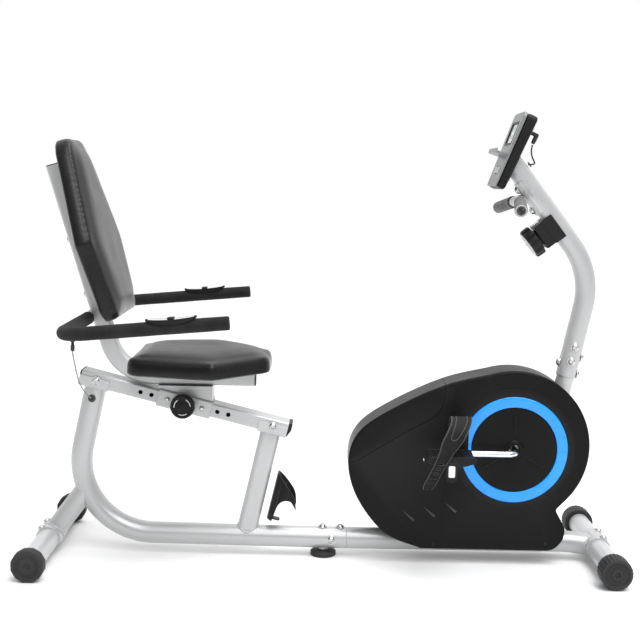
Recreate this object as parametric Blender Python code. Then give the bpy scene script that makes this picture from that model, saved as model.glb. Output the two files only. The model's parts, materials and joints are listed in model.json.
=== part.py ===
"""Recumbent exercise bike, one object for each piece.

Metres, +Z up. +X points from the seat to the console and -Y is the rider's right. The origin is on
the floor, midway between the two floor tubes. A moving piece has its origin on its joint's axis.
"""

import math

import bmesh
import bpy
from mathutils import Matrix, Quaternion, Vector

# ---- driving dimensions ----
GAP = 0.0003  # between pieces that touch
FLOOR_TUBE_X = 0.640  # each floor tube's axis, ahead of and behind the origin
FLOOR_TUBE_Z = 0.036
REAR_HALF_WIDTH = 0.242  # to a floor cap's outer face
FRONT_HALF_WIDTH = 0.221
CAP_RADIUS = 0.036
FRAME_RADIUS = 0.025
FRAME_Z = 0.0418  # the low tubes' axis
JOINT_X = 0.054  # where the rear frame slides over the front frame
MAST_RADIUS = 0.023
POST_RADIUS = 0.0202
RAIL_SLOPE = math.radians(13.6)
RAIL_LENGTH = 0.490
RAIL_WIDTH = 0.060
RAIL_HEIGHT = 0.0315
RAIL_WALL = 0.002
RAIL_PIN = Vector((-0.326, 0, 0.3606))  # on the rail's axis, at the release pin
HOLE_PITCH = 0.026
HOLES_EACH_WAY = 4
SEAT_LEAN = math.radians(17)
SEAT_TUBE = 0.038  # side of its square section
SEAT_TUBE_Z = 0.4205
SEAT_BOTTOM = 0.438  # the seat cushion's underside
PLATE = 0.0045  # the plates that the cushions are screwed to
HANDLE_HALF_SPAN = 0.345
HANDLE_RADIUS = 0.0110
HANDLE_GRIP_RADIUS = 0.0145
CRANK_AXIS = Vector((0.432, 0, 0.272))
CRANK_LENGTH = 0.158
CRANK_ARM_Y = 0.100
CRANK_RADIUS = 0.0072
CRANK_BORE = CRANK_RADIUS + 0.0011
HOUSING_HALF_WIDTH = 0.052
HOUSING_CENTRE = Vector((0.4295, 0.2775))  # of its round front, in x and z
HOUSING_RADIUS = 0.1768
HOUSING_WALL = 0.0025
HOUSING_EDGE = 0.008  # its outer edges' rounding
RING_OUTER = 0.1228
RING_INNER = 0.0985
FLYWHEEL_AXIS = Vector((0.185, 0, 0.235))
FLYWHEEL_RADIUS = 0.105
PULLEY_RADIUS = 0.105
FLYWHEEL_PULLEY_RADIUS = 0.018
BELT_Y = 0.032
MAST_LOW = Vector((0.5531, 0, 0.4375))
MAST_BEND = Vector((0.603, 0, 0.678))
MAST_TILT = math.radians(37.8)  # its upper run, back from upright
CONSOLE_TILT = math.radians(23.95)
CONSOLE_CENTRE = Vector((0.4088, 0, 0.948))
CONSOLE_SIZE = Vector((0.026, 0.142, 0.176))
KNOB_RADIUS = 0.036
FRONT_BAR_MIDDLE = Vector((0.4315, 0, 0.8415))
FRONT_BAR_END = Vector((0.4085, 0.165, 0.8200))

ACROSS = Vector((0, 1, 0))
SIDES = ((-1, "right"), (1, "left"))

# ---- colour, roughness, metallic ----
SILVER = ("silver_paint", (0.60, 0.61, 0.62), 0.35, 0.3)
BLACK = ("black_plastic", (0.018, 0.018, 0.019), 0.45, 0.0)
CAP_GREY = ("cap_plastic", (0.05, 0.05, 0.052), 0.6, 0.0)
BLUE = ("blue_plastic", (0.03, 0.37, 0.95), 0.35, 0.0)
CHROME = ("chrome", (0.8, 0.8, 0.8), 0.08, 1.0)
STEEL = ("bare_steel", (0.45, 0.45, 0.46), 0.35, 1.0)
IRON = ("cast_iron", (0.12, 0.12, 0.125), 0.6, 0.8)
FOAM = ("grip_foam", (0.022, 0.022, 0.023), 0.85, 0.0)
LEATHER = ("leatherette", (0.035, 0.035, 0.036), 0.5, 0.0)
RUBBER = ("black_rubber", (0.02, 0.02, 0.02), 0.8, 0.0)
LEAD_GREY = ("lead_grey", (0.35, 0.36, 0.37), 0.5, 0.0)
FACE = ("silver_plastic", (0.45, 0.46, 0.47), 0.4, 0.2)
SCREEN = ("screen", (0.55, 0.60, 0.58), 0.15, 0.0)
BUTTON = ("button_grey", (0.55, 0.56, 0.57), 0.5, 0.0)


# ---- shapes ----
def rounded(corners, closed=False, step=math.radians(12)):
    """The points of a polyline of (corner, radius) with each corner turned into an arc."""
    points = []
    for index, (corner, radius) in enumerate(corners):
        corner = Vector(corner)
        at_end = not closed and index in (0, len(corners) - 1)
        if at_end or not radius:
            points.append(corner)
            continue
        before = (Vector(corners[index - 1][0]) - corner).normalized()
        after = (Vector(corners[(index + 1) % len(corners)][0]) - corner).normalized()
        half = before.angle(after) / 2
        centre = corner + (before + after).normalized() * (radius / math.sin(half))
        first = corner + before * (radius / math.tan(half)) - centre
        last = corner + after * (radius / math.tan(half)) - centre
        turn = first.angle(last)
        steps = max(1, math.ceil(turn / step))
        axis = first.cross(last)
        points += [centre + Quaternion(axis, turn * k / steps) @ first for k in range(steps + 1)]
    return points


def smooth(points, steps):
    """A curve through the points, with `steps` pieces between each two."""
    padded = [2 * points[0] - points[1], *points, 2 * points[-1] - points[-2]]
    curve = []
    for a, b, c, d in zip(padded, padded[1:], padded[2:], padded[3:]):
        for k in range(steps):
            t = k / steps
            bend = (2 * a - 5 * b + 4 * c - d) * t**2 + (3 * b - a - 3 * c + d) * t**3
            curve.append((2 * b + (c - a) * t + bend) / 2)
    return [*curve, points[-1]]


def circle(radius, sides):
    turns = [2 * math.pi * (k + 0.5) / sides for k in range(sides)]
    return [(radius * math.cos(turn), radius * math.sin(turn)) for turn in turns]


def rounded_box(width, height, radius):
    """A rectangle with round corners, as (across, up) pairs."""
    half_w, half_h = width / 2, height / 2
    corners = [(-half_w, -half_h, 0), (half_w, -half_h, 0), (half_w, half_h, 0), (-half_w, half_h, 0)]
    points = rounded([(corner, radius) for corner in corners], closed=True, step=math.radians(45))
    return [(point.x, point.y) for point in points]


def loft(rings, loop=False):
    """A closed mesh through rings of points: capped at both ends, or joined into a loop."""
    mesh = bmesh.new()
    made = [[mesh.verts.new(point) for point in ring] for ring in rings]
    pairs = list(zip(made, made[1:]))
    if loop:
        pairs.append((made[-1], made[0]))
    for first, second in pairs:
        for k in range(len(first)):
            n = (k + 1) % len(first)
            mesh.faces.new((first[k], first[n], second[n], second[k]))
    if not loop:
        mesh.faces.new(made[0])
        mesh.faces.new(made[-1])
    bmesh.ops.recalc_face_normals(mesh, faces=mesh.faces)
    return mesh


def sweep(path, section, across=ACROSS):
    """A closed section moved along a path that lies in the plane square to `across`."""
    ways = [(b - a).normalized() for a, b in zip(path, path[1:])]
    ways = [ways[0], *[(a + b).normalized() for a, b in zip(ways, ways[1:])], ways[-1]]
    return loft([
        [point + across * a + way.cross(across) * b for a, b in section]
        for point, way in zip(path, ways)
    ])


def lathe(profile, sides, loop=False):
    """(radius, height) pairs turned about Z. With loop, the profile is a closed ring's section."""
    return loft(
        [[Vector((x, y, height)) for x, y in circle(radius, sides)] for radius, height in profile], loop
    )


def fluted(radius, flutes, depth, heights):
    """A grip knob's disc: (height, inset) pairs of a round outline with shallow flutes."""
    steps = 4 * flutes
    rings = []
    for height, inset in heights:
        ring = []
        for k in range(steps):
            turn = 2 * math.pi * k / steps
            reach = radius - inset - (depth if k % 4 == 0 else 0)
            ring.append(Vector((reach * math.cos(turn), reach * math.sin(turn), height)))
        rings.append(ring)
    return loft(rings)


def prism(outline, low, high):
    """An outline of (x, z) points as thick as from y = low to y = high."""
    return loft([[Vector((point[0], y, point[1])) for point in outline] for y in (low, high)])


def block(low, high):
    """A box between two corners."""
    outline = [(low[0], low[2]), (high[0], low[2]), (high[0], high[2]), (low[0], high[2])]
    return prism(outline, low[1], high[1])


# ---- objects ----
def finish_of(finish):
    name, colour, roughness, metallic = finish
    material = bpy.data.materials.get(name)
    if material is None:
        material = bpy.data.materials.new(name)
        material.use_nodes = True
        shader = material.node_tree.nodes["Principled BSDF"]
        shader.inputs["Base Color"].default_value = (*colour, 1)
        shader.inputs["Roughness"].default_value = roughness
        shader.inputs["Metallic"].default_value = metallic
        material.diffuse_color = (*colour, 1)
    return material


def place(shape, name, finish, at=(0, 0, 0), turn=Matrix.Identity(4)):
    """An object of this shape, with its origin at `at`."""
    mesh = bpy.data.meshes.new(name)
    shape.to_mesh(mesh)
    shape.free()
    mesh.shade_smooth()
    mesh.set_sharp_from_angle(angle=math.radians(35))
    mesh.materials.append(finish_of(finish))
    piece = bpy.data.objects.new(name, mesh)
    piece.matrix_world = Matrix.Translation(at) @ turn
    bpy.context.scene.collection.objects.link(piece)
    return piece


def helper(shape, at=(0, 0, 0), turn=Matrix.Identity(4)):
    """A shape that only cuts or is joined to another piece."""
    piece = place(shape, "helper", SILVER, at, turn)
    piece.hide_render = True
    piece.display_type = "WIRE"
    return piece


def cut(piece, *helpers):
    for other in helpers:
        modifier = piece.modifiers.new("cut", "BOOLEAN")
        modifier.operation = "DIFFERENCE"
        modifier.object = other


def join(piece, *helpers):
    for other in helpers:
        modifier = piece.modifiers.new("join", "BOOLEAN")
        modifier.operation = "UNION"
        modifier.object = other


def keep_inside(piece, other):
    modifier = piece.modifiers.new("keep", "BOOLEAN")
    modifier.operation = "INTERSECT"
    modifier.object = other


def bevel(piece, width, segments=2):
    modifier = piece.modifiers.new("edges", "BEVEL")
    modifier.width = width
    modifier.segments = segments
    modifier.limit_method = "ANGLE"
    modifier.angle_limit = math.radians(40)


def outward(side):
    """Turns a shape made along +Z to point out of the bike: side -1 is right, 1 is left."""
    return Matrix.Rotation(-side * math.pi / 2, 4, "X")


def about_y(angle):
    return Matrix.Rotation(angle, 4, "Y")


def rod(radius, start, end, sides=20):
    """A straight round bar's shape between two points."""
    start, end = Vector(start), Vector(end)
    return sweep([start, end], circle(radius, sides), (end - start).orthogonal().normalized())


def floor_tube(side_of_bike, radius):
    """A floor tube's axis runs across the bike, ahead of the origin at 1 and behind it at -1."""
    x = side_of_bike * FLOOR_TUBE_X
    reach = 0.3
    return rod(radius, (x, -reach, FLOOR_TUBE_Z), (x, reach, FLOOR_TUBE_Z), 24)


# ---- rear frame ----
REAR_CORNER = (-0.607, 0, 0.0475)
REAR_BEND = 0.170
UPRIGHT_TOP = (-0.5348, 0, 0.3935)


def rear_path():
    start = (JOINT_X - GAP, 0, FRAME_Z)
    return rounded([(start, 0), (REAR_CORNER, REAR_BEND), (UPRIGHT_TOP, 0)], step=math.radians(9))


def rail_at(distance):
    """A point of the rail's axis, this far ahead of the release pin."""
    return RAIL_PIN + Vector((math.cos(RAIL_SLOPE), 0, -math.sin(RAIL_SLOPE))) * distance


def rail_saddle(distance, length):
    """A folded plate under the rail and up both its sides, in the rail's own frame."""
    plate = 0.003
    inner_w = RAIL_WIDTH / 2 + GAP
    floor = -RAIL_HEIGHT / 2 - GAP
    top = 0.006
    half = length / 2
    outline = [
        (-inner_w - plate, top), (-inner_w - plate, floor - plate), (inner_w + plate, floor - plate),
        (inner_w + plate, top), (inner_w, top), (inner_w, floor), (-inner_w, floor), (-inner_w, top),
    ]
    shape = loft([[Vector((x, y, z)) for y, z in outline] for x in (-half, half)])
    return helper(shape, rail_at(distance), about_y(RAIL_SLOPE))


def rear_frame():
    tube = place(sweep(rear_path(), circle(FRAME_RADIUS, 20)), "rear_frame_tube", SILVER)
    join(tube, rail_saddle(-0.213, 0.070))
    bore = rod(FRAME_RADIUS - 0.0028, (0.008, 0, FRAME_Z), (JOINT_X + 0.02, 0, FRAME_Z))
    foot_hole = sweep([Vector((0, 0, 0)), Vector((0, 0, 0.034))], circle(0.0060, 12))
    cut(tube, helper(bore), helper(foot_hole))

    axis = Vector((-FLOOR_TUBE_X, 0, FLOOR_TUBE_Z))
    reach = ACROSS * (REAR_HALF_WIDTH - 0.005)
    place(rod(FRAME_RADIUS, axis - reach, axis + reach), "rear_stabiliser", SILVER)
    leg = place(rod(0.0240, axis, (-0.556, 0, 0.151)), "rear_leg", SILVER)
    join(leg, saddle(axis, math.radians(-20), math.radians(165)))
    fat_bend = sweep(rear_path(), circle(FRAME_RADIUS + 0.0004, 20))
    cut(leg, helper(floor_tube(-1, FRAME_RADIUS + 0.0006)), helper(fat_bend))


def saddle(axis, start, end):
    """A curved plate that wraps a floor tube between two angles, measured up from +X."""
    inner, outer, half_width = 0.0240, 0.0290, 0.040
    steps = 10
    turns = [start + (end - start) * k / steps for k in range(steps + 1)]
    rim = [(outer * math.cos(t), outer * math.sin(t)) for t in turns]
    bore = [(inner * math.cos(t), inner * math.sin(t)) for t in reversed(turns)]
    return helper(prism([(axis.x + x, axis.z + z) for x, z in rim + bore], -half_width, half_width))


def rear_caps():
    """Twelve-sided cups pushed over the ends of the rear floor tube."""
    for side, hand in SIDES:
        depth = 0.027
        corner = 0.0035
        flat_radius = CAP_RADIUS / math.cos(math.pi / 12)
        cup = [
            (FRAME_RADIUS + 0.0008, -depth), (flat_radius - corner, -depth), (flat_radius, -depth + corner),
            (flat_radius, -corner), (flat_radius - corner, 0), (0.020, 0), (0.018, -0.0015),
        ]
        cap = place(
            lathe(cup, 12), f"rear_cap_{hand}", CAP_GREY,
            (-FLOOR_TUBE_X, side * REAR_HALF_WIDTH, FLOOR_TUBE_Z), outward(side),
        )
        bore = sweep(
            [Vector((0, 0, -depth - 0.01)), Vector((0, 0, -0.0045))], circle(FRAME_RADIUS + 0.0006, 20)
        )
        cut(cap, helper(bore, cap.location, outward(side)))


def front_wheels():
    """Transport wheels that turn on the ends of the front floor tube."""
    depth = 0.047
    edge = 0.004
    section = [
        (0.010, -0.003), (0.012, 0), (CAP_RADIUS - edge, 0), (CAP_RADIUS, -edge), (CAP_RADIUS, -depth + edge),
        (CAP_RADIUS - edge, -depth), (FRAME_RADIUS + 0.0009, -depth), (FRAME_RADIUS + 0.0009, -0.006),
        (0.010, -0.006),
    ]
    for side, hand in SIDES:
        hub = (FLOOR_TUBE_X, side * FRONT_HALF_WIDTH, FLOOR_TUBE_Z)
        place(lathe(section, 24, loop=True), f"front_wheel_{hand}", CAP_GREY, hub, outward(side))


def front_post():
    """The post from the low tube up to the rail's front end."""
    foot, top = Vector((-0.182, 0, 0.050)), Vector((-0.1277, 0, 0.2946))
    section = rounded_box(0.040, 0.047, 0.014)
    post = place(sweep([foot, top], section), "front_post", SILVER)
    join(post, rail_saddle(0.211, 0.068))
    cut(post, helper(rod(FRAME_RADIUS + 0.0004, (-0.40, 0, FRAME_Z + 0.0054), (0, 0, FRAME_Z + 0.0007))))


def seat_rail():
    reach = RAIL_LENGTH / 2
    middle = rail_at(0)
    section = rounded_box(RAIL_WIDTH, RAIL_HEIGHT, 0.004)
    along = [Vector((-reach, 0, 0)), Vector((reach, 0, 0))]
    turn = about_y(RAIL_SLOPE)
    rail = place(sweep(along, section), "seat_rail", SILVER, middle, turn)
    inner = rounded_box(RAIL_WIDTH - 2 * RAIL_WALL, RAIL_HEIGHT - 2 * RAIL_WALL, 0.002)
    longer = [Vector((-reach - 0.01, 0, 0)), Vector((reach + 0.01, 0, 0))]
    cut(rail, helper(sweep(longer, inner), middle, turn))
    for hole in range(-HOLES_EACH_WAY, HOLES_EACH_WAY + 1):
        start = Vector((hole * HOLE_PITCH, -RAIL_WIDTH, 0))
        end = Vector((hole * HOLE_PITCH, 0, 0))
        cut(rail, helper(rod(0.0050, start, end, 12), middle, turn))
    plug = rounded_box(RAIL_WIDTH - 2 * RAIL_WALL - 0.001, RAIL_HEIGHT - 2 * RAIL_WALL - 0.001, 0.002)
    lid = rounded_box(RAIL_WIDTH, RAIL_HEIGHT, 0.004)
    cap_depth = 0.010
    shape = sweep([Vector((GAP, 0, 0)), Vector((cap_depth, 0, 0))], lid)
    cap = place(shape, "rail_cap_front", BLACK, rail_at(reach), turn)
    bevel(cap, 0.003, 1)
    join(cap, helper(sweep([Vector((-0.012, 0, 0)), Vector((0.002, 0, 0))], plug), rail_at(reach), turn))


CAGE_ARCH = [(0.0120, 0.0), (0.0200, 0.046), (0.0420, 0.058), (0.0620, 0.038)]
CAGE_FIN = [(0.0620, 0.038), (0.0516, 0.067), (0.0297, 0.0893), (0.0020, 0.1130)]


def bottle_cage():
    """A springy half sleeve for a bottle, cut away at the front into two arms."""
    foot = Vector((-0.1340, 0, 0.0880))
    lean = math.radians(12.7)
    radius, wall, height = 0.037, 0.0025, 0.140
    start, end = math.radians(48), math.radians(312)
    steps = 18
    turns = [start + (end - start) * k / steps for k in range(steps + 1)]
    sheet = [(radius * math.cos(t), radius * math.sin(t)) for t in turns]
    sheet += [((radius - wall) * math.cos(t), (radius - wall) * math.sin(t)) for t in reversed(turns)]
    rings = [[Vector((radius + x, y, z)) for x, y in sheet] for z in (0, height)]
    cage = place(loft(rings), "bottle_cage", BLACK, foot, about_y(lean))
    fin = smooth([Vector(point) for point in CAGE_FIN], 2)
    arch = smooth([Vector(point) for point in CAGE_ARCH], 3)
    outline = [Vector((-0.01, 0.0)), *arch, *fin[1:], Vector((-0.01, 0.112))]
    keep_inside(cage, helper(prism(outline, -0.05, 0.05), foot, about_y(lean)))
    lip = block((0.0008, -0.011, 0.0005), (0.030, 0.011, 0.0035))
    join(cage, helper(lip, foot, about_y(lean)))


def levelling_foot():
    profile = [
        (0.028, 0), (0.030, 0.002), (0.030, 0.008), (0.024, 0.0125), (0.008, 0.0150), (0.0050, 0.0155),
        (0.0050, 0.032),
    ]
    place(lathe(profile, 16), "levelling_foot", BLACK)


# ---- front frame ----
def front_frame():
    axle = Vector((FLOOR_TUBE_X, 0, FLOOR_TUBE_Z))
    path = [Vector((JOINT_X + GAP, 0, FRAME_Z)), Vector((0.570, 0, FRAME_Z + 0.0017)), axle]
    tube = place(sweep(path, circle(FRAME_RADIUS, 20)), "front_frame_tube", SILVER)
    spigot = rod(FRAME_RADIUS - 0.0033, (0.0115, 0, FRAME_Z), (JOINT_X + 0.02, 0, FRAME_Z))
    join(tube, helper(spigot), saddle(axle, math.radians(15), math.radians(200)))
    cut(tube, helper(floor_tube(1, FRAME_RADIUS + 0.0006)))
    reach = ACROSS * (FRONT_HALF_WIDTH - 0.0065)
    place(rod(FRAME_RADIUS, axle - reach, axle + reach), "front_stabiliser", SILVER)


def mast_way():
    """The unit vector up the mast's lower run."""
    return (MAST_BEND - MAST_LOW).normalized()


def mast_up():
    """The unit vector up the mast's upper run."""
    return Vector((-math.sin(MAST_TILT), 0, math.cos(MAST_TILT)))


def low_tube_cutter():
    return helper(rod(FRAME_RADIUS + 0.0005, (0.08, 0, FRAME_Z), (0.62, 0, FRAME_Z + 0.0018)))


def mast_post():
    """The stub that carries the mast. It stands on the low tube, inside the housing."""
    foot = MAST_LOW - mast_way() * 0.385
    top = MAST_LOW + mast_way() * 0.070
    post = place(rod(POST_RADIUS, foot, top), "mast_post", SILVER)
    cut(post, low_tube_cutter())


def mast():
    top = MAST_BEND + mast_up() * 0.34
    path = rounded([(MAST_LOW, 0), (MAST_BEND, 0.175), (top, 0)], step=math.radians(7))
    tube = place(sweep(path, circle(MAST_RADIUS, 20)), "mast", SILVER)
    bore = rod(POST_RADIUS + 0.0006, MAST_LOW - mast_way() * 0.01, MAST_LOW + mast_way() * 0.075)
    half = CONSOLE_SIZE.x / 2 + GAP  # the console's back
    beyond = block((-0.2, -0.1, -0.2), (half, 0.1, 0.2))
    cut(tube, helper(bore), helper(beyond, CONSOLE_CENTRE, CONSOLE_TURN))


def bottom_bracket():
    """The tube that the crank turns in, with its web to the post."""
    section = [(0.0180, -0.020), (0.0220, -0.020), (0.0220, 0.034), (0.0180, 0.034)]
    bracket = place(lathe(section, 20, loop=True), "bottom_bracket", SILVER, CRANK_AXIS, outward(-1))
    web = prism([(0.0205, -0.014), (0.0205, 0.014), (0.105, 0.030), (0.090, -0.030)], -0.004, 0.004)
    join(bracket, helper(web, CRANK_AXIS))
    post = rod(POST_RADIUS + 0.0005, MAST_LOW - mast_way() * 0.4, MAST_LOW)
    cut(bracket, helper(post))
    for side, hand, end in ((-1, "right", 0.034), (1, "left", 0.020)):
        cup = [
            (CRANK_BORE, end + 0.004), (0.0205, end + 0.004), (0.0205, end + GAP), (0.0173, end + GAP),
            (0.0173, end - 0.010), (CRANK_BORE, end - 0.010),
        ]
        place(lathe(cup, 20, loop=True), f"bearing_cup_{hand}", STEEL, CRANK_AXIS, outward(side))


# ---- drive ----
def crank():
    """One bent bar: right arm, spindle through the bottom bracket, left arm. Its origin is the axis."""
    arm, out, bend = CRANK_LENGTH, CRANK_ARM_Y, 0.020
    corners = [((-arm, -out, 0), 0), ((0, -out, 0), bend), ((0, out, 0), bend), ((arm, out, 0), 0)]
    path = rounded(corners, step=math.radians(18))
    bar = place(sweep(path, circle(CRANK_RADIUS, 12), Vector((0, 0, 1))), "crank", CHROME, CRANK_AXIS)
    for side in (-1, 1):
        eye = rod(0.0125, (side * arm, side * (out - 0.008), 0), (side * arm, side * (out + 0.008), 0), 16)
        pin = rod(0.0060, (side * arm, side * out, 0), (side * arm, side * (out + 0.098), 0), 12)
        join(bar, helper(eye, CRANK_AXIS), helper(pin, CRANK_AXIS))


def wheel(name, finish, axis, bore, hub, web, radius, half_width, web_half, middle, sides=36):
    """A spoked-out disc: hub, thin web and rim, turned about an axis along Y."""
    rim = 0.014
    low, high = middle - half_width, middle + half_width
    section = [
        (bore, low), (hub, low), (hub, middle - web_half), (radius - rim, middle - web_half),
        (radius - rim, low), (radius, low), (radius, high), (radius - rim, high),
        (radius - rim, middle + web_half), (hub, middle + web_half), (hub, web), (bore, web),
    ]
    return place(lathe(section, sides, loop=True), name, finish, axis, outward(1))


def pulleys():
    wheel("drive_pulley", BLACK, CRANK_AXIS, CRANK_BORE, 0.020, 0.0365, PULLEY_RADIUS, 0.0045, 0.0015, BELT_Y)
    hub = FLYWHEEL_PULLEY_RADIUS
    wheel("flywheel", IRON, FLYWHEEL_AXIS, 0.0083, hub, 0.0365, FLYWHEEL_RADIUS, 0.012, 0.004, -0.002)


def tangent_loop(first, first_radius, second, second_radius, steps=16):
    """The outline of a belt around two circles, as (x, z) points."""
    way = (second - first).xz
    lean = math.acos((first_radius - second_radius) / way.length)
    heading = math.atan2(way.y, way.x)
    points = []
    for centre, radius, start, end in (
        (first, first_radius, heading + lean, heading + 2 * math.pi - lean),
        (second, second_radius, heading - lean, heading + lean),
    ):
        for k in range(steps + 1):
            turn = start + (end - start) * k / steps
            points.append((centre.x + radius * math.cos(turn), centre.z + radius * math.sin(turn)))
    return points


def drive_belt():
    thick, half_width = 0.003, 0.004
    inner_first = PULLEY_RADIUS / math.cos(math.pi / 24) + 0.0004
    inner_second = FLYWHEEL_PULLEY_RADIUS / math.cos(math.pi / 24) + 0.0004
    low, high = BELT_Y - half_width, BELT_Y + half_width
    rings = []
    for grow, y in ((0, low), (thick, low), (thick, high), (0, high)):
        loop = tangent_loop(CRANK_AXIS, inner_first + grow, FLYWHEEL_AXIS, inner_second + grow, 24)
        rings.append([Vector((x, y, z)) for x, z in loop])
    place(loft(rings, loop=True), "drive_belt", RUBBER)


MAGNET_PIVOT = FLYWHEEL_AXIS + 0.125 * Vector((math.cos(math.radians(250)), 0, math.sin(math.radians(250))))


def flywheel_fork():
    """Two plates on the low tube that hold the flywheel's axle, and the lug for the magnets."""
    plate_in, plate_out = 0.040, 0.044
    axis = FLYWHEEL_AXIS
    fork = place(block((0.176, -plate_out, 0.063), (0.214, plate_out, 0.078)), "flywheel_fork", STEEL)
    for side in (-1, 1):
        ends = sorted((side * plate_in, side * plate_out))
        top = axis.z + 0.014
        rise = [(0.176, 0.063), (0.214, 0.063), (axis.x + 0.016, top), (axis.x - 0.016, top)]
        join(fork, helper(prism(rise, *ends)))
    axle = rod(0.0075, axis + Vector((0, -0.047, 0)), axis + Vector((0, 0.047, 0)), 16)
    pivot = MAGNET_PIVOT
    lug_outline = [
        (0.177, 0.066), (0.195, 0.070), (pivot.x + 0.009, pivot.z + 0.008),
        (pivot.x - 0.008, pivot.z + 0.008),
        (pivot.x - 0.008, pivot.z - 0.006),
    ]
    lug = prism(lug_outline, -0.006, 0.002)
    join(fork, helper(axle), helper(lug))
    pin_hole = rod(0.0050, pivot + Vector((0, -0.02, 0)), pivot + Vector((0, 0.02, 0)), 12)
    cut(fork, low_tube_cutter(), helper(pin_hole))


def magnet_bracket():
    """A curved channel that carries the magnets over the flywheel's rim. Its origin is its pivot."""
    inner, outer, wall = 0.109, 0.114, 0.0025
    side_in = 0.084
    low, high = -0.0185, 0.0145
    section = [
        (side_in, low), (outer, low), (outer, high), (side_in, high), (side_in, high - wall),
        (inner, high - wall), (inner, low + wall), (side_in, low + wall),
    ]
    centre = FLYWHEEL_AXIS - MAGNET_PIVOT
    steps = 12
    rings = []
    for k in range(steps + 1):
        turn = math.radians(130 + 105 * k / steps)
        spoke = Vector((math.cos(turn), 0, math.sin(turn)))
        rings.append([centre + spoke * radius + ACROSS * y for radius, y in section])
    bracket = place(loft(rings), "magnet_bracket", STEEL, MAGNET_PIVOT)
    ear = [(-0.022, 0.026), (-0.020, -0.004), (0.006, -0.008), (0.008, 0.008), (-0.004, 0.028)]
    for y in (low, high - wall):
        join(bracket, helper(prism(ear, y, y + wall), MAGNET_PIVOT))
    pin = rod(0.0042, (0, low + wall / 2, 0), (0, high - wall / 2, 0), 12)
    join(bracket, helper(pin, MAGNET_PIVOT))


PEDAL_NEAR = 0.118  # from the bike's middle to each pedal's inner face
PEDAL_FAR = 0.204
PEDAL_TURNS = {"right": about_y(0), "left": about_y(math.radians(-60))}  # the left one has swung back


def flat(corners, step):
    """The (x, z) points of a closed outline of ((x, z), radius) corners."""
    spots = [((x, 0, z), radius) for (x, z), radius in corners]
    points = rounded(spots, closed=True, step=math.radians(step))
    return [(point.x, point.z) for point in points]


def pedals():
    """A pedal and its strap on each crank arm. Their origins are on the pedal's axle."""
    reach, nose, top, edge, keel = 0.062, 0.0050, 0.0145, -0.0045, -0.0086
    shoulder, ramp, keel_reach = 0.046, 0.034, 0.014
    outline = flat([
        ((-reach, nose), 0.006), ((-shoulder, top), 0.02), ((shoulder, top), 0.02), ((reach, nose), 0.006),
        ((ramp, edge), 0.02), ((keel_reach, keel), 0.01), ((-keel_reach, keel), 0.01), ((-ramp, edge), 0.02),
    ], 25)
    tab = flat([
        ((-0.012, -0.003), 0), ((0.012, -0.003), 0), ((0.012, -0.041), 0.0115), ((-0.012, -0.041), 0.0115),
    ], 30)
    for side, hand in SIDES:
        axle = CRANK_AXIS + Vector((side * CRANK_LENGTH, 0, 0))
        turn = PEDAL_TURNS[hand]
        ends = sorted((side * PEDAL_NEAR, side * PEDAL_FAR))
        pedal = place(prism(outline, *ends), f"pedal_{hand}", BLACK, axle, turn)
        bevel(pedal, 0.003, 1)
        bore = rod(0.0070, (0, side * (PEDAL_NEAR - 0.02), 0), (0, side * (PEDAL_FAR - 0.003), 0), 12)
        tab_ends = sorted((side * (PEDAL_FAR - 0.008), side * (PEDAL_FAR - 0.003)))
        join(pedal, helper(prism(tab, *tab_ends), axle, turn))
        cut(pedal, helper(bore, axle))
        strap(side, hand, axle, turn)


def strap(side, hand, axle, turn):
    """A band over the foot: up from beside the arm, over, and down outside the pedal to its tail."""
    thick, broad, narrow = 0.0022, 0.021, 0.0125
    lean = math.tan(math.radians(26))
    shift = -0.0245  # of its line behind the axle, at the axle's height
    inside, outside = PEDAL_NEAR - 0.0026, PEDAL_FAR + 0.0026
    shoulder, top, tail = 0.073, 0.103, -0.057
    corners = [
        ((0, inside, 0.0080), 0), ((0, inside, shoulder), 0.034), ((0, (inside + outside) / 2, top), 0.045),
        ((0, outside, shoulder), 0.034), ((0, outside, tail), 0),
    ]
    path = rounded(corners, step=math.radians(16))
    middle = len(path) // 2
    rings = []
    for index, point in enumerate(path):
        ahead = path[min(index + 1, len(path) - 1)] - path[max(index - 1, 0)]
        out = Vector((0, -ahead.z, ahead.y)).normalized() * thick / 2
        wide = broad if abs(index - middle) < middle - 1 else narrow
        ring = []
        for reach, offset in ((-wide, -1), (wide, -1), (wide, 1), (-wide, 1)):
            spot = point + out * offset
            ring.append(Vector((reach + shift + spot.z * lean, side * spot.y, spot.z)))
        rings.append(ring)
    place(loft(rings), f"pedal_strap_{hand}", RUBBER, axle, turn)


# ---- housing ----
TAIL = [
    (0.225, 0.034), (0.141, 0.069), (0.076, 0.150), (0.053, 0.235), (0.076, 0.306), (0.152, 0.362),
    (0.274, 0.420),
]
TOE = [(0.534, 0.131), (0.558, 0.088), (0.553, 0.060), (0.536, 0.040), (0.520, 0.034)]


def housing_outline():
    """The drive housing seen from the side: a round front about the crank, and a low rounded tail."""
    start, end, steps = math.radians(102), math.radians(-47), 18
    front = []
    for k in range(steps + 1):
        turn = start + (end - start) * k / steps
        front.append(HOUSING_CENTRE + HOUSING_RADIUS * Vector((math.cos(turn), math.sin(turn))))
    tail = smooth([*(Vector(point) for point in TAIL), front[0]], 3)
    return [*tail[:-1], *front, *(Vector(point) for point in TOE)]


def inset(points, distance):
    """A clockwise (x, z) outline moved inwards by a distance."""
    moved = []
    for index, point in enumerate(points):
        before = (point - points[index - 1]).normalized()
        after = (points[(index + 1) % len(points)] - point).normalized()
        way = (before + after).normalized()
        stretch = max(0.5, before.dot(way))
        moved.append(point + Vector((way.y, -way.x)) * (distance / stretch))
    return moved


SEAM = [
    (0.040, 0.234), (0.074, 0.240), (0.128, 0.273), (0.184, 0.307), (0.232, 0.334), (0.256, 0.352),
    (0.268, 0.378), (0.274, 0.440),
]


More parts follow.
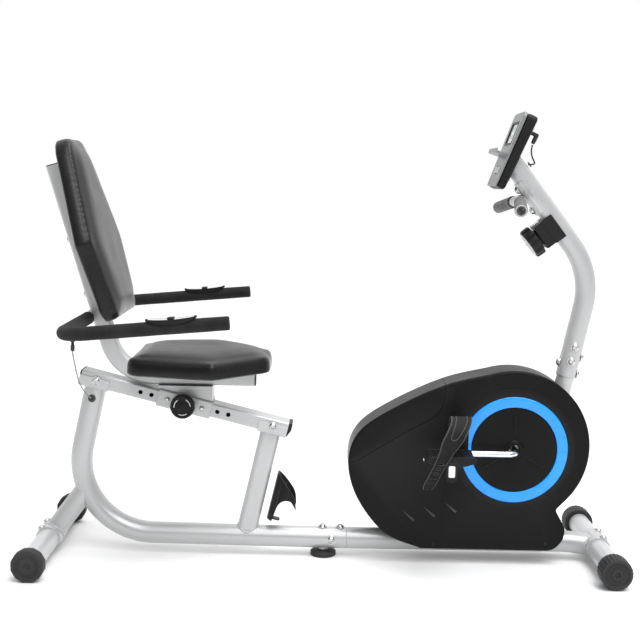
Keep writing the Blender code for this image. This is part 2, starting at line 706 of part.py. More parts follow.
def cover_zone():
    """The space above the seam, behind the housing's top."""
    around = [(0.274, 0.500), (0.240, 0.500), (-0.05, 0.500), (-0.05, 0.234)]
    return helper(prism([*SEAM, *around], -0.2, 0.2))


def housing_form(name, inner_end):
    """The whole rounded housing, and the hollow inside it from `inner_end` to its other side wall."""
    width = HOUSING_HALF_WIDTH
    hollow_width = width - HOUSING_WALL
    form = place(prism(housing_outline(), -width, width), name, BLACK)
    bevel(form, HOUSING_EDGE)
    far_end = -math.copysign(hollow_width, inner_end)
    hollow = helper(prism(inset(housing_outline(), HOUSING_WALL), *sorted((inner_end, far_end))))
    bevel(hollow, HOUSING_EDGE - HOUSING_WALL)
    return form, hollow


def housing():
    """Right and left shells and the rear top cover, all cut from one hollow form."""
    past_middle = 0.02
    for side, hand in SIDES:
        shell, hollow = housing_form(f"housing_{hand}", -side * past_middle)
        ends = sorted((side * GAP, side * 0.1))
        keep_inside(shell, helper(block((0, ends[0], 0), (0.7, ends[1], 0.6))))
        crank_hole = rod(0.0150, CRANK_AXIS, CRANK_AXIS + ACROSS * side * 0.2)
        cut(shell, hollow, cover_zone(), helper(crank_hole), low_tube_slot(), post_cutter())
    cover, hollow = housing_form("top_rear_cover", HOUSING_HALF_WIDTH - HOUSING_WALL)
    zone = cover_zone()
    zone.location = (-0.0006, 0, 0.0006)
    keep_inside(cover, zone)
    cut(cover, hollow)


def low_tube_slot():
    """Room for the low tube where the housing's halves close around it."""
    return helper(rod(FRAME_RADIUS + 0.0012, (-0.1, 0, FRAME_Z), (0.70, 0, FRAME_Z + 0.0018)))


def post_cutter():
    return helper(rod(POST_RADIUS + 0.0012, MAST_LOW - mast_way() * 0.36, MAST_LOW + mast_way() * 0.1))


def disc_covers():
    """The ribbed disc over each crank hole, and the coloured ring around it."""
    face = HOUSING_HALF_WIDTH + GAP
    for side, hand in SIDES:
        disc = place(
            lathe([(0.0135, face), (RING_INNER - 0.001, face), (RING_INNER - 0.001, face + 0.002),
                   (0.022, face + 0.002), (0.020, face + 0.005), (0.0135, face + 0.005)], 40, loop=True),
            f"disc_cover_{hand}", BLACK, CRANK_AXIS, outward(side),
        )
        for spoke in range(3):
            rib = block((0.030, -0.004, face + 0.001), (0.090, 0.004, face + 0.0036))
            turn = outward(side) @ Matrix.Rotation(math.radians(90 + 120 * spoke), 4, "Z")
            join(disc, helper(rib, CRANK_AXIS, turn))
        ring = [
            (RING_INNER, face), (RING_OUTER, face), (RING_OUTER, face + 0.002),
            (RING_OUTER - 0.002, face + 0.0042),
            (RING_INNER + 0.002, face + 0.0042), (RING_INNER, face + 0.002),
        ]
        place(lathe(ring, 40, loop=True), f"accent_ring_{hand}", BLUE, CRANK_AXIS, outward(side))


# ---- console and mast fittings ----
KEYS_Z = -0.050  # heights on the console's face, from its middle
LEDGE_Z = -0.012
FACE_LEAN = math.radians(3.77)  # the console's front leans back this much less than its back does
CONSOLE_TURN = about_y(CONSOLE_TILT)
FACE_TURN = about_y(CONSOLE_TILT - FACE_LEAN)


def face_x(z, depth=0.0):
    """Where the console's front is, this far above its middle, plus a depth into it."""
    return -CONSOLE_SIZE.x / 2 - 0.008 + (CONSOLE_SIZE.z / 2 - z) * math.tan(FACE_LEAN) + depth


def split_x(z):
    """Where the console's silver face ends and its black housing starts."""
    return -CONSOLE_SIZE.x / 2 + (CONSOLE_SIZE.z / 2 - z) * 0.0375


def on_face(z):
    """A point of the console's front, on its middle line."""
    return CONSOLE_CENTRE + CONSOLE_TURN @ Vector((face_x(z), 0, z))


def console():
    """Drawn upright about its centre: -X faces the rider, then tilted back onto the mast."""
    deep, wide, tall = CONSOLE_SIZE
    back, half, end = deep / 2, wide / 2, tall / 2
    profile = [(split_x(end), end), (back, end), (back, -end), (split_x(-end), -end)]
    body = place(prism(profile, -half, half), "console_housing", BLACK, CONSOLE_CENTRE, CONSOLE_TURN)
    bevel(body, 0.007)
    wall, rim = 0.0025, 0.007
    tray = block((-back - 0.01, -half + rim, -end + rim), (back - wall, half - rim, end - rim))
    cut(body, helper(tray, CONSOLE_CENTRE, CONSOLE_TURN))

    profile = [
        (face_x(end), end), (split_x(end) - GAP, end), (split_x(-end) - GAP, -end), (face_x(-end), -end),
    ]
    face = place(prism(profile, -half, half), "console_face", FACE, CONSOLE_CENTRE, CONSOLE_TURN)
    bevel(face, 0.0012, 1)
    join(face, console_ledge())
    low, high, side = 0.012, 0.064, 0.043
    window = block((-0.04, -side, low), (0.0, side, high))
    recess = block((-0.002, -0.035, -0.009), (0.002, 0.035, 0.009))
    cut(face, helper(window, CONSOLE_CENTRE, CONSOLE_TURN), helper(recess, on_face(KEYS_Z), FACE_TURN))
    low, high, side = low + GAP, high - GAP, side - GAP
    sunk, clear = 0.0022, 0.0012
    glass = [
        (face_x(high, sunk), high), (split_x(high) - clear, high), (split_x(low) - clear, low),
        (face_x(low, sunk), low),
    ]
    place(prism(glass, -side, side), "console_screen", SCREEN, CONSOLE_CENTRE, CONSOLE_TURN)

    for middle, name in ((-0.0172, "mode_button"), (0.0172, "reset_button")):
        key = block((-0.0014, -0.0165, -0.0082), (0.0006, 0.0165, 0.0082))
        button = place(key, name, BUTTON, on_face(KEYS_Z) + ACROSS * middle, FACE_TURN)
        bevel(button, 0.0006, 1)


def console_ledge():
    """A shelf for a phone, square to the face. It and its lip lean away from what they hold."""
    profile = [
        (0.0015, 0.00006), (-0.0240, -0.0010), (-0.0246, 0.0045), (-0.0270, 0.0045), (-0.0262, -0.0062),
        (0.0015, -0.0050),
    ]
    return helper(prism(profile, -0.060, 0.060), on_face(LEDGE_Z), FACE_TURN)


def jumper():
    """The lead from the back of the console to the mast, and its angled plug."""
    back = CONSOLE_SIZE.x / 2 + GAP
    stem = block((back, -0.005, 0.0535), (back + 0.0245, 0.005, 0.0620))
    plug = place(stem, "jumper_plug", RUBBER, CONSOLE_CENTRE, CONSOLE_TURN)
    arm = block((back + 0.0175, -0.0042, 0.0370), (back + 0.0255, 0.0042, 0.0580))
    join(plug, helper(arm, CONSOLE_CENTRE, CONSOLE_TURN))
    cord(JUMPER_ROUTE, "jumper_lead", RUBBER, 0.0017)


JUMPER_ROUTE = [
    (0.4556, 0, 0.9655), (0.4545, 0, 0.9600), (0.4538, 0, 0.9530), (0.4545, 0, 0.9440), (0.4572, 0, 0.9355),
    (0.4608, 0, 0.9280), (0.4618, 0, 0.9238), (0.4580, 0, 0.9215), (0.4520, 0, 0.9210), (0.4475, 0, 0.9210),
]
PULSE_ROUTE = [
    (-0.5470, -0.2000, 0.5020), (-0.5466, -0.1985, 0.4930), (-0.5450, -0.1900, 0.4740),
    (-0.5448, -0.1720, 0.4520), (-0.5465, -0.1420, 0.4290), (-0.5468, -0.1080, 0.4080),
    (-0.5445, -0.0780, 0.3905), (-0.5415, -0.0500, 0.3755), (-0.5398, -0.0285, 0.3680),
]


def cord(route, name, finish, radius):
    """A thin lead on a smooth curve through its route's points."""
    points = smooth([Vector(point) for point in route], 4)
    data = bpy.data.curves.new(name, "CURVE")
    data.dimensions = "3D"
    data.bevel_depth = radius
    data.bevel_resolution = 2
    data.use_fill_caps = True
    spline = data.splines.new("POLY")
    spline.points.add(len(points) - 1)
    for control, point in zip(spline.points, points):
        control.co = (*point, 1)
    data.materials.append(finish_of(finish))
    bpy.context.scene.collection.objects.link(bpy.data.objects.new(name, data))


def tension():
    """The resistance knob and the block that holds it to the mast's upper run."""
    origin = MAST_BEND + mast_up() * 0.138
    turn = about_y(-MAST_TILT)
    shape = block((-0.0505, -0.028, -0.030), (-0.001, 0.028, 0.030))
    box = place(shape, "tension_housing", BLACK, origin, turn)
    bevel(box, 0.003, 1)
    along = rod(MAST_RADIUS + 0.0006, (0, 0, -0.1), (0, 0, 0.1))
    bore = rod(0.0062, (-0.06, 0, 0), (-0.038, 0, 0), 12)
    cut(box, helper(along, origin, turn), helper(bore, origin, turn))
    knob_at = origin + turn @ Vector((-0.0505, 0, 0))
    outwards = turn @ Matrix.Rotation(-math.pi / 2, 4, "Y")
    shape = fluted(KNOB_RADIUS, 10, 0.0022, ((0.0058, 0.003), (0.008, 0), (0.0275, 0), (0.0300, 0.003)))
    knob = place(shape, "tension_knob", BLACK, knob_at, outwards)
    shaft = sweep([Vector((0, 0, -0.010)), Vector((0, 0, 0.010))], circle(0.0050, 12))
    join(knob, helper(shaft, knob_at, outwards))


def front_handlebar():
    """The short bar below the console, welded to a plate that is bolted to the mast."""
    turn = about_y(-MAST_TILT)
    origin = MAST_BEND + mast_up() * 0.225
    plate = block((-MAST_RADIUS - 0.0035, -0.017, -0.042), (-MAST_RADIUS + 0.004, 0.017, 0.042))
    bar = place(plate, "front_handlebar", SILVER, origin, turn)
    neck = sweep([Vector((-0.042, 0, 0)), Vector((-MAST_RADIUS, 0, 0))], circle(0.011, 14))
    middle = FRONT_BAR_MIDDLE
    arms = []
    for side in (-1, 1):
        tip = FRONT_BAR_END * Vector((1, side, 1))
        arms.append(helper(rod(HANDLE_RADIUS, middle - (tip - middle) * 0.05, tip, 14)))
    join(bar, helper(neck, origin, turn), *arms)
    along_mast = sweep([Vector((0, 0, -0.1)), Vector((0, 0, 0.1))], circle(MAST_RADIUS + 0.0005, 20))
    cut(bar, helper(along_mast, origin, turn))
    for side, hand in SIDES:
        tip = FRONT_BAR_END * Vector((1, side, 1))
        way = (tip - middle).normalized()
        start = tip - way * 0.118
        grip = place(rod(HANDLE_RADIUS + 0.003, start, tip + way * 0.003, 18), f"front_grip_{hand}", FOAM)
        bevel(grip, 0.001, 1)
        cut(grip, helper(rod(HANDLE_RADIUS + 0.0006, start - way * 0.01, tip + way * 0.0006, 14)))


# ---- seat ----
def seat_up():
    return Vector((-math.sin(SEAT_LEAN), 0, math.cos(SEAT_LEAN)))


SEAT_CORNER = Vector((-0.4797, 0, SEAT_TUBE_Z))


def seat_slider():
    """A sleeve around the rail, with the wedge that makes the seat level."""
    turn = about_y(RAIL_SLOPE)
    half_length, half_width, half_height = 0.063, 0.0355, 0.0208
    start, end = Vector((-half_length, 0, 0)), Vector((half_length, 0, 0))
    shape = sweep([start, end], rounded_box(2 * half_width, 2 * half_height, 0.004))
    sleeve = place(shape, "seat_slider", SILVER, RAIL_PIN, turn)
    wedge = [(-0.388, 0.3985), (-0.388, 0.4013), (-0.262, 0.4013), (-0.262, 0.350), (-0.300, 0.360)]
    join(sleeve, helper(prism(wedge, -0.030, 0.030)))
    room = rounded_box(RAIL_WIDTH + 0.0012, RAIL_HEIGHT + 0.0012, 0.0035)
    longer = [start * 1.6, end * 1.6]
    pin_hole = rod(0.0052, (0, -0.05, 0), (0, 0, 0), 12)
    cut(sleeve, helper(sweep(longer, room), RAIL_PIN, turn), helper(pin_hole, RAIL_PIN, turn))


def release_knob():
    """The pull knob whose pin drops into the rail's holes. Its origin is on the sleeve's face."""
    face = 0.0358
    at = RAIL_PIN + Vector((0, -face, 0))
    turn = about_y(RAIL_SLOPE) @ outward(-1)
    shape = fluted(0.028, 9, 0.0016, ((0.020, 0.004), (0.023, 0), (0.036, 0), (0.041, 0.005)))
    knob = place(shape, "release_knob", BLACK, at, turn)
    barrel = sweep([Vector((0, 0, 0.0005)), Vector((0, 0, 0.024))], circle(0.0105, 12))
    pin = sweep([Vector((0, 0, -0.0085)), Vector((0, 0, 0.010))], circle(0.0042, 12))
    join(knob, helper(barrel, at, turn), helper(pin, at, turn))


def seat_path(step=9):
    """The seat tube's axis: level under the seat, then up behind the backrest."""
    front = Vector((-0.166, 0, SEAT_TUBE_Z))
    top = SEAT_CORNER + seat_up() * ((0.900 - SEAT_TUBE_Z) / math.cos(SEAT_LEAN))
    return rounded([(front, 0), (SEAT_CORNER, 0.108), (top, 0)], step=math.radians(step))


def seat_tube():
    tube = place(sweep(seat_path(), rounded_box(SEAT_TUBE, SEAT_TUBE, 0.006)), "seat_tube", SILVER)
    plate_top = SEAT_BOTTOM - GAP
    for x in (-0.380, -0.235):
        plate = block((x - 0.015, -0.085, plate_top - PLATE), (x + 0.015, 0.085, plate_top))
        join(tube, helper(plate))
    for height in (0.20, 0.33):
        plate = block((SEAT_TUBE / 2 - 0.001, -0.075, -0.015), (SEAT_TUBE / 2 + PLATE, 0.075, 0.015))
        join(tube, helper(plate, SEAT_CORNER + seat_up() * height, about_y(-SEAT_LEAN)))


def cushion(name, length, widths, at, turn):
    """A padded board: flat below, crowned above. widths are (from the first end, half width, rounding)."""
    side = [((x, half, 0), radius) for x, half, radius in widths]
    other = [((x, -half, 0), radius) for x, half, radius in reversed(widths)]
    outline = rounded(side + other, closed=True, step=math.radians(20))
    middle = Vector((length * 0.45, 0, 0))
    rings = []
    for scale, height in ((0.975, 0), (1.0, 0.005), (1.0, 0.034), (0.965, 0.044), (0.80, 0.052)):
        rings.append([middle + (point - middle) * scale + Vector((0, 0, height)) for point in outline])
    return place(loft(rings), name, LEATHER, at, turn)


def cushions():
    """The seat is notched below to fit over its tube. The backrest stands off its tube on plates."""
    seat_widths = [(0.0, 0.140, 0.030), (0.201, 0.190, 0.030), (0.319, 0.062, 0.030)]
    seat = cushion("seat_cushion", 0.319, seat_widths, (-0.4460, 0, SEAT_BOTTOM), Matrix.Identity(4))
    room = SEAT_TUBE + 0.0010
    cut(seat, helper(sweep(seat_path(), rounded_box(room, room, 0.006))))
    back_widths = [(0.0, 0.130, 0.040), (0.183, 0.186, 0.030), (0.420, 0.080, 0.050)]
    lowest = SEAT_CORNER + seat_up() * 0.129
    front = about_y(-SEAT_LEAN) @ Vector((SEAT_TUBE / 2 + PLATE + GAP, 0, 0))
    turn = about_y(-SEAT_LEAN - math.pi / 2) @ Matrix.Rotation(math.pi, 4, "X")
    cushion("back_cushion", 0.420, back_widths, lowest + front, turn)


HANDLE_FRONT = Vector((-0.205, 0, 0.5865))
HANDLE_REAR = Vector((-0.5465, 0, 0.5545))


def handle_path(side, radius=0.060):
    """One half of the U bar, from the seat tube out and forward."""
    out = Vector((0, side * HANDLE_HALF_SPAN, 0))
    corners = [(HANDLE_REAR, 0), (HANDLE_REAR + out, radius), (HANDLE_FRONT + out, 0)]
    return rounded(corners, step=math.radians(15))


def handle_normal():
    return (HANDLE_FRONT - HANDLE_REAR).normalized().cross(ACROSS)


def seat_handlebar():
    """A bent steel bar behind the seat tube, with a foam grip on each side."""
    right, left = handle_path(-1), handle_path(1)
    whole = [*reversed(right), *left[1:]]
    bar = place(sweep(whole, circle(HANDLE_RADIUS, 12), handle_normal()), "seat_handlebar", SILVER)
    half = SEAT_TUBE / 2 + 0.0004
    notch = block((-half, -half, -0.2), (half, half, 0.2))
    cut(bar, helper(notch, SEAT_CORNER + seat_up() * 0.15, about_y(-SEAT_LEAN)))
    for side, hand in SIDES:
        path = handle_path(side)
        path[0] = path[0] + Vector((0, side * 0.060, 0))
        tip = (path[-1] - path[-2]).normalized()
        outer = [*path[:-1], path[-1] + tip * 0.004]
        sleeve = sweep(outer, circle(HANDLE_GRIP_RADIUS, 14), handle_normal())
        grip = place(sleeve, f"seat_grip_{hand}", FOAM)
        inner = [path[0] - Vector((0, side * 0.02, 0)), *path[1:-1], path[-1] + tip * 0.0006]
        cut(grip, helper(sweep(inner, circle(HANDLE_RADIUS + 0.0007, 12), handle_normal())))


def pulse_sensors():
    """A dished finger rest on top of each grip."""
    way = (HANDLE_FRONT - HANDLE_REAR).normalized()
    tilt = -math.atan2(way.z, way.x)
    for side, hand in SIDES:
        middle = HANDLE_FRONT - way * 0.112 + Vector((0, side * HANDLE_HALF_SPAN, 0))
        turn = about_y(tilt)
        reach, rise, thick = 0.052, 0.0065, 0.0025
        low = HANDLE_GRIP_RADIUS + GAP
        steps = 8
        outline = []
        for k in range(steps + 1):
            x = -reach + 2 * reach * k / steps
            outline.append((x, low + rise * (x / reach) ** 2))
        outline += [(x, z + thick) for x, z in reversed(outline)]
        plate = place(prism(outline, -0.011, 0.011), f"pulse_sensor_{hand}", BLACK, middle, turn)
        nub = block((-0.006, -0.009, low + 0.001), (0.006, 0.009, low + thick + 0.003))
        join(plate, helper(nub, middle, turn))


def pulse_lead():
    """The thin lead from the right grip down to the rear frame, with the plug at its top."""
    profile = [
        (0.0030, GAP), (0.0044, 0.002), (0.0044, 0.013), (0.0030, 0.0145), (0.0030, 0.0195), (0.0050, 0.021),
        (0.0050, 0.034), (0.0035, 0.0372),
    ]
    place(lathe(profile, 12), "pulse_plug", RUBBER, PULSE_ROUTE[0])
    cord(PULSE_ROUTE, "pulse_lead", LEAD_GREY, 0.0014)


def main():
    for piece in list(bpy.data.objects):
        bpy.data.objects.remove(piece)
    for build in (
        rear_frame, rear_caps, front_wheels, front_post, seat_rail, bottle_cage, levelling_foot, front_frame,
        mast_post, mast, bottom_bracket, crank, pulleys, drive_belt, flywheel_fork, magnet_bracket, pedals,
        housing, disc_covers, console, jumper, tension, front_handlebar, seat_slider, release_knob, seat_tube,
        cushions, seat_handlebar, pulse_sensors, pulse_lead,
    ):
        build()


main()
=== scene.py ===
"""The looks of a recumbent exercise bike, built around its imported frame.

Metres, +Z up, in the frame's own axes: +X points from the seat to the console and -Y is the rider's
right. Each visible piece is a fresh mesh that stands for one or more of the frame's solids.
"""

import json
import math

import bmesh
import bpy
from mathutils import Matrix, Quaternion, Vector
from mathutils.bvhtree import BVHTree


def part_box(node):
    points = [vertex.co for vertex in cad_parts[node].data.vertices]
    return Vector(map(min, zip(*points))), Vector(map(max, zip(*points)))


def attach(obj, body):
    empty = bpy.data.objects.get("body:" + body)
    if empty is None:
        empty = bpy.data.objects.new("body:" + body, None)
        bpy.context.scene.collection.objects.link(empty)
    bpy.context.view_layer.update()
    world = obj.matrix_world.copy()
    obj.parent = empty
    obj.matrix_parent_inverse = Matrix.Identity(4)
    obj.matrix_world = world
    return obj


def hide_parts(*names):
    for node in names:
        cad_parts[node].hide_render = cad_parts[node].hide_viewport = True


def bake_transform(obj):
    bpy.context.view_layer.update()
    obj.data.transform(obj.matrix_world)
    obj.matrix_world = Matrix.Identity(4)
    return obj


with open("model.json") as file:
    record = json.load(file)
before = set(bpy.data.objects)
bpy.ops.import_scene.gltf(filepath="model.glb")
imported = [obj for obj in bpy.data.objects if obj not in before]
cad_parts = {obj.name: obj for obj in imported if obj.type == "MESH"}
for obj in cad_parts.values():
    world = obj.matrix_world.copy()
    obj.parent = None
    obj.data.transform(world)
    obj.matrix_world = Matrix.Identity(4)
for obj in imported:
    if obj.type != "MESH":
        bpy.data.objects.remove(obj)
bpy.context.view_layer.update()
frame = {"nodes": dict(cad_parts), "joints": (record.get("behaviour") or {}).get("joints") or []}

ACROSS = Vector((0, 1, 0))
UP = Vector((0, 0, 1))
SIDES = ((-1, "right"), (1, "left"))
JOINTS = {joint["name"]: joint for joint in frame["joints"]}


def pivot(name):
    return Vector(JOINTS[name]["pos_m"])


# ---- places that the frame's solids share ----
FLOOR_TUBE_X = 0.640
FLOOR_TUBE_Z = 0.036
FRAME_RADIUS = 0.025
FRAME_Z = 0.0418
JOINT_X = 0.054
CAP_RADIUS = 0.036
REAR_HALF_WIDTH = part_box("rear_cap_left")[1].y
FRONT_HALF_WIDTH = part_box("front_wheel_left")[1].y
MAST_RADIUS = 0.023
POST_RADIUS = 0.0202
RAIL_SLOPE = math.radians(13.6)
RAIL_LENGTH = 0.490
RAIL_WIDTH = 0.060
RAIL_HEIGHT = 0.0315
RAIL_PIN = Vector((-0.326, 0, 0.3606))
HOLE_PITCH = 0.026
SEAT_LEAN = math.radians(17)
SEAT_TUBE = 0.038
SEAT_TUBE_Z = 0.4205
SEAT_CORNER = Vector((-0.4797, 0, SEAT_TUBE_Z))
SEAT_BOTTOM = 0.438
PLATE = 0.0045
HANDLE_HALF_SPAN = 0.345
HANDLE_RADIUS = 0.0110
GRIP_RADIUS = 0.0145
HANDLE_FRONT = Vector((-0.205, 0, 0.5865))
HANDLE_REAR = Vector((-0.5465, 0, 0.5545))
CRANK_AXIS = pivot("crank_spin")
CRANK_LENGTH = 0.158
CRANK_RADIUS = 0.0072
HOUSING_HALF_WIDTH = 0.052
HOUSING_CENTRE = Vector((0.4295, 0.2775))
HOUSING_RADIUS = 0.1768
HOUSING_WALL = 0.0025
HOUSING_EDGE = 0.008
MAST_LOW = Vector((0.5531, 0, 0.4375))
MAST_BEND = Vector((0.603, 0, 0.678))
MAST_TILT = math.radians(37.8)
CONSOLE_TILT = math.radians(23.95)
CONSOLE_CENTRE = Vector((0.4088, 0, 0.948))
CONSOLE_SIZE = Vector((0.026, 0.142, 0.176))
FRONT_BAR_MIDDLE = Vector((0.4315, 0, 0.8415))
FRONT_BAR_END = Vector((0.4085, 0.165, 0.8200))


def about_y(angle):
    return Matrix.Rotation(angle, 4, "Y")


def at(place, turn=Matrix.Identity(4)):
    return Matrix.Translation(place) @ turn


def outward(side):
    """Turns a shape made along +Z to point out of the bike: side -1 is right, 1 is left."""
    return Matrix.Rotation(-side * math.pi / 2, 4, "X")


def facing(way):
    """Turns a shape made along +Z to point along this vector."""
    return Vector(way).to_track_quat("Z", "Y").to_matrix().to_4x4()


def mast_way():
    return (MAST_BEND - MAST_LOW).normalized()


def mast_up():
    return Vector((-math.sin(MAST_TILT), 0, math.cos(MAST_TILT)))


def seat_up():
    return Vector((-math.sin(SEAT_LEAN), 0, math.cos(SEAT_LEAN)))


def rail_at(distance):
    """A point of the rail's axis, this far ahead of the release pin."""
    return RAIL_PIN + Vector((math.cos(RAIL_SLOPE), 0, -math.sin(RAIL_SLOPE))) * distance


RAIL_TURN = about_y(RAIL_SLOPE)
BACK_TURN = about_y(-SEAT_LEAN)
MAST_TURN = about_y(-MAST_TILT)
CONSOLE_TURN = about_y(CONSOLE_TILT)
FACE_LEAN = math.radians(3.77)
FACE_TURN = about_y(CONSOLE_TILT - FACE_LEAN)


# ---- shapes ----
def rounded(corners, closed=False, step=math.radians(6)):
    """The points of a polyline of (corner, radius) with each corner turned into an arc."""
    points = []
    for index, (corner, radius) in enumerate(corners):
        corner = Vector(corner)
        at_end = not closed and index in (0, len(corners) - 1)
        if at_end or not radius:
            points.append(corner)
            continue
        before = (Vector(corners[index - 1][0]) - corner).normalized()
        after = (Vector(corners[(index + 1) % len(corners)][0]) - corner).normalized()
        half = before.angle(after) / 2
        centre = corner + (before + after).normalized() * (radius / math.sin(half))
        first = corner + before * (radius / math.tan(half)) - centre
        last = corner + after * (radius / math.tan(half)) - centre
        turn = first.angle(last)
        steps = max(1, math.ceil(turn / step))
        axis = first.cross(last)
        points += [centre + Quaternion(axis, turn * k / steps) @ first for k in range(steps + 1)]
    return points


def smooth(points, steps):
    """A curve through the points, with `steps` pieces between each two."""
    padded = [2 * points[0] - points[1], *points, 2 * points[-1] - points[-2]]
    curve = []
    for a, b, c, d in zip(padded, padded[1:], padded[2:], padded[3:]):
        for k in range(steps):
            t = k / steps
            bend = (2 * a - 5 * b + 4 * c - d) * t**2 + (3 * b - a - 3 * c + d) * t**3
            curve.append((2 * b + (c - a) * t + bend) / 2)
    return [*curve, points[-1]]


def circle(radius, sides=56):
    turns = [2 * math.pi * (k + 0.5) / sides for k in range(sides)]
    return [(radius * math.cos(turn), radius * math.sin(turn)) for turn in turns]


def rounded_box(width, height, radius):
    """A rectangle with round corners, as (across, up) pairs."""
    half_w, half_h = width / 2, height / 2
    corners = [(-half_w, -half_h, 0), (half_w, -half_h, 0), (half_w, half_h, 0), (-half_w, half_h, 0)]
    points = rounded([(corner, radius) for corner in corners], closed=True, step=math.radians(12))
    return [(point.x, point.y) for point in points]


def loft(rings, loop=False):
    """A closed mesh through rings of points: capped at both ends, or joined into a loop."""
    mesh = bmesh.new()
    made = [[mesh.verts.new(point) for point in ring] for ring in rings]
    pairs = list(zip(made, made[1:]))
    if loop:
        pairs.append((made[-1], made[0]))
    for first, second in pairs:
        for k in range(len(first)):
            n = (k + 1) % len(first)
            mesh.faces.new((first[k], first[n], second[n], second[k]))
    if not loop:
        mesh.faces.new(made[0])
        mesh.faces.new(made[-1])
    bmesh.ops.recalc_face_normals(mesh, faces=mesh.faces)
    return mesh


def sweep(path, section, across=ACROSS):
    """A closed section moved along a path that lies in the plane square to `across`."""
    ways = [(b - a).normalized() for a, b in zip(path, path[1:])]
    ways = [ways[0], *[(a + b).normalized() for a, b in zip(ways, ways[1:])], ways[-1]]
    return loft([
        [point + across * a + way.cross(across) * b for a, b in section]
        for point, way in zip(path, ways)
    ])


def rod(radius, start, end, sides=56):
    start, end = Vector(start), Vector(end)
    return sweep([start, end], circle(radius, sides), (end - start).orthogonal().normalized())


def hose(points, radius, sides=12, ripple=None):
    """A tube along any curve, closed if its ends meet. ripple changes the radius along it."""
    loop = (points[0] - points[-1]).length < 1e-6
    if loop:
        points = points[:-1]
    count = len(points)
    normal = (points[1] - points[0]).orthogonal().normalized()
    rings = []
    for k, point in enumerate(points):
        before = points[k - 1] if loop or k else point
        after = points[(k + 1) % count] if loop or k < count - 1 else point
        way = (after - before).normalized()
        normal = (normal - way * normal.dot(way)).normalized()
        side = way.cross(normal)
        reach = radius * (ripple(k) if ripple else 1)
        rings.append([point + (normal * a + side * b) * reach for a, b in circle(1, sides)])
    return loft(rings, loop)


def lathe(profile, sides=64, loop=False):
    """(radius, height) or (radius, height, flats) turned about Z. Flats make that ring a polygon."""
    rings = []
    for radius, height, *flats in profile:
        ring = []
        for k in range(sides):
            turn = 2 * math.pi * (k + 0.5) / sides
            reach = radius
            if flats:
                part = 2 * math.pi / flats[0]
                reach = radius / math.cos((turn + part / 2) % part - part / 2)
            ring.append(Vector((reach * math.cos(turn), reach * math.sin(turn), height)))
        rings.append(ring)
    return loft(rings, loop)


def fluted(profile, flutes, steps=8):
    """(radius, height, depth) rings about Z, with rounded flutes cut to each ring's depth."""
    count = flutes * steps
    rings = []
    for radius, height, depth in profile:
        ring = []
        for k in range(count):
            turn = 2 * math.pi * k / count
            reach = radius - depth * (0.5 + 0.5 * math.cos(flutes * turn)) ** 2
            ring.append(Vector((reach * math.cos(turn), reach * math.sin(turn), height)))
        rings.append(ring)
    return loft(rings)


def prism(outline, low, high):
    """An outline of (x, z) points as thick as from y = low to y = high."""
    return loft([[Vector((point[0], y, point[1])) for point in outline] for y in (low, high)])


def block(low, high):
    outline = [(low[0], low[2]), (high[0], low[2]), (high[0], high[2]), (low[0], high[2])]
    return prism(outline, low[1], high[1])


def slab(width, height, radius, low, high):
    """A round-cornered plate in the local YZ plane, from x = low to x = high."""
    section = rounded_box(width, height, radius)
    return loft([[Vector((x, y, z)) for y, z in section] for x in (low, high)])


def moved(shape, matrix):
    bmesh.ops.transform(shape, matrix=matrix, verts=shape.verts)
    return shape


def inset(points, distance):
    """A clockwise (x, z) outline moved inwards by a distance."""
    shifted = []
    for index, point in enumerate(points):
        before = (point - points[index - 1]).normalized()
        after = (points[(index + 1) % len(points)] - point).normalized()
        way = (before + after).normalized()
        stretch = max(0.5, before.dot(way))
        shifted.append(point + Vector((way.y, -way.x)) * (distance / stretch))
    return shifted


def working(shape, edge=0.0, segments=5):
    """An object that only helps to make another shape."""
    mesh = bpy.data.meshes.new("working")
    shape.to_mesh(mesh)
    shape.free()
    made = bpy.data.objects.new("working", mesh)
    bpy.context.scene.collection.objects.link(made)
    if edge:
        soften(made, edge, segments)
    return made


def soften(made, width, segments=3, angle=35):
    modifier = made.modifiers.new("edges", "BEVEL")
    modifier.width = width
    modifier.segments = segments
    modifier.limit_method = "ANGLE"
    modifier.angle_limit = math.radians(angle)
    modifier.harden_normals = False


def carved(base, *steps):
    """The shape of a working object after (operation, other working object) Booleans."""
    for operation, other in steps:
        modifier = base.modifiers.new("carve", "BOOLEAN")
        modifier.operation = operation
        modifier.object = other
    graph = bpy.context.evaluated_depsgraph_get()
    mesh = bpy.data.meshes.new_from_object(base.evaluated_get(graph))
    shape = bmesh.new()
    shape.from_mesh(mesh)
    bpy.data.meshes.remove(mesh)
    for used in (base, *(other for _, other in steps)):
        bpy.data.objects.remove(used)
    return shape


def piece(name, material, shapes, body="root", stands_for=(), edge=0.0, sharp=35, flat=True):
    """One visible object of these shapes. It rides on a body and stands for some of its solids."""
    whole = bmesh.new()
    for shape in shapes:
        part = bpy.data.meshes.new("part")
        shape.to_mesh(part)
        shape.free()
        whole.from_mesh(part)
        bpy.data.meshes.remove(part)
    mesh = bpy.data.meshes.new(name)
    whole.to_mesh(mesh)
    whole.free()
    mesh.shade_smooth()
    mesh.set_sharp_from_angle(angle=math.radians(sharp))
    mesh.materials.append(material)
    made = bpy.data.objects.new(name, mesh)
    bpy.context.scene.collection.objects.link(made)
    if edge:
        soften(made, edge)
    if flat:
        modifier = made.modifiers.new("flat faces", "WEIGHTED_NORMAL")
        modifier.keep_sharp = True
    if body:
        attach(made, body)
    if stands_for:
        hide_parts(*stands_for)
    return made


# ---- materials ----
def node(made, kind, **settings):
    found = made.node_tree.nodes.new(kind)
    for name, value in settings.items():
        setattr(found, name, value)
    return found


def link(made, source, target):
    made.node_tree.links.new(source, target)


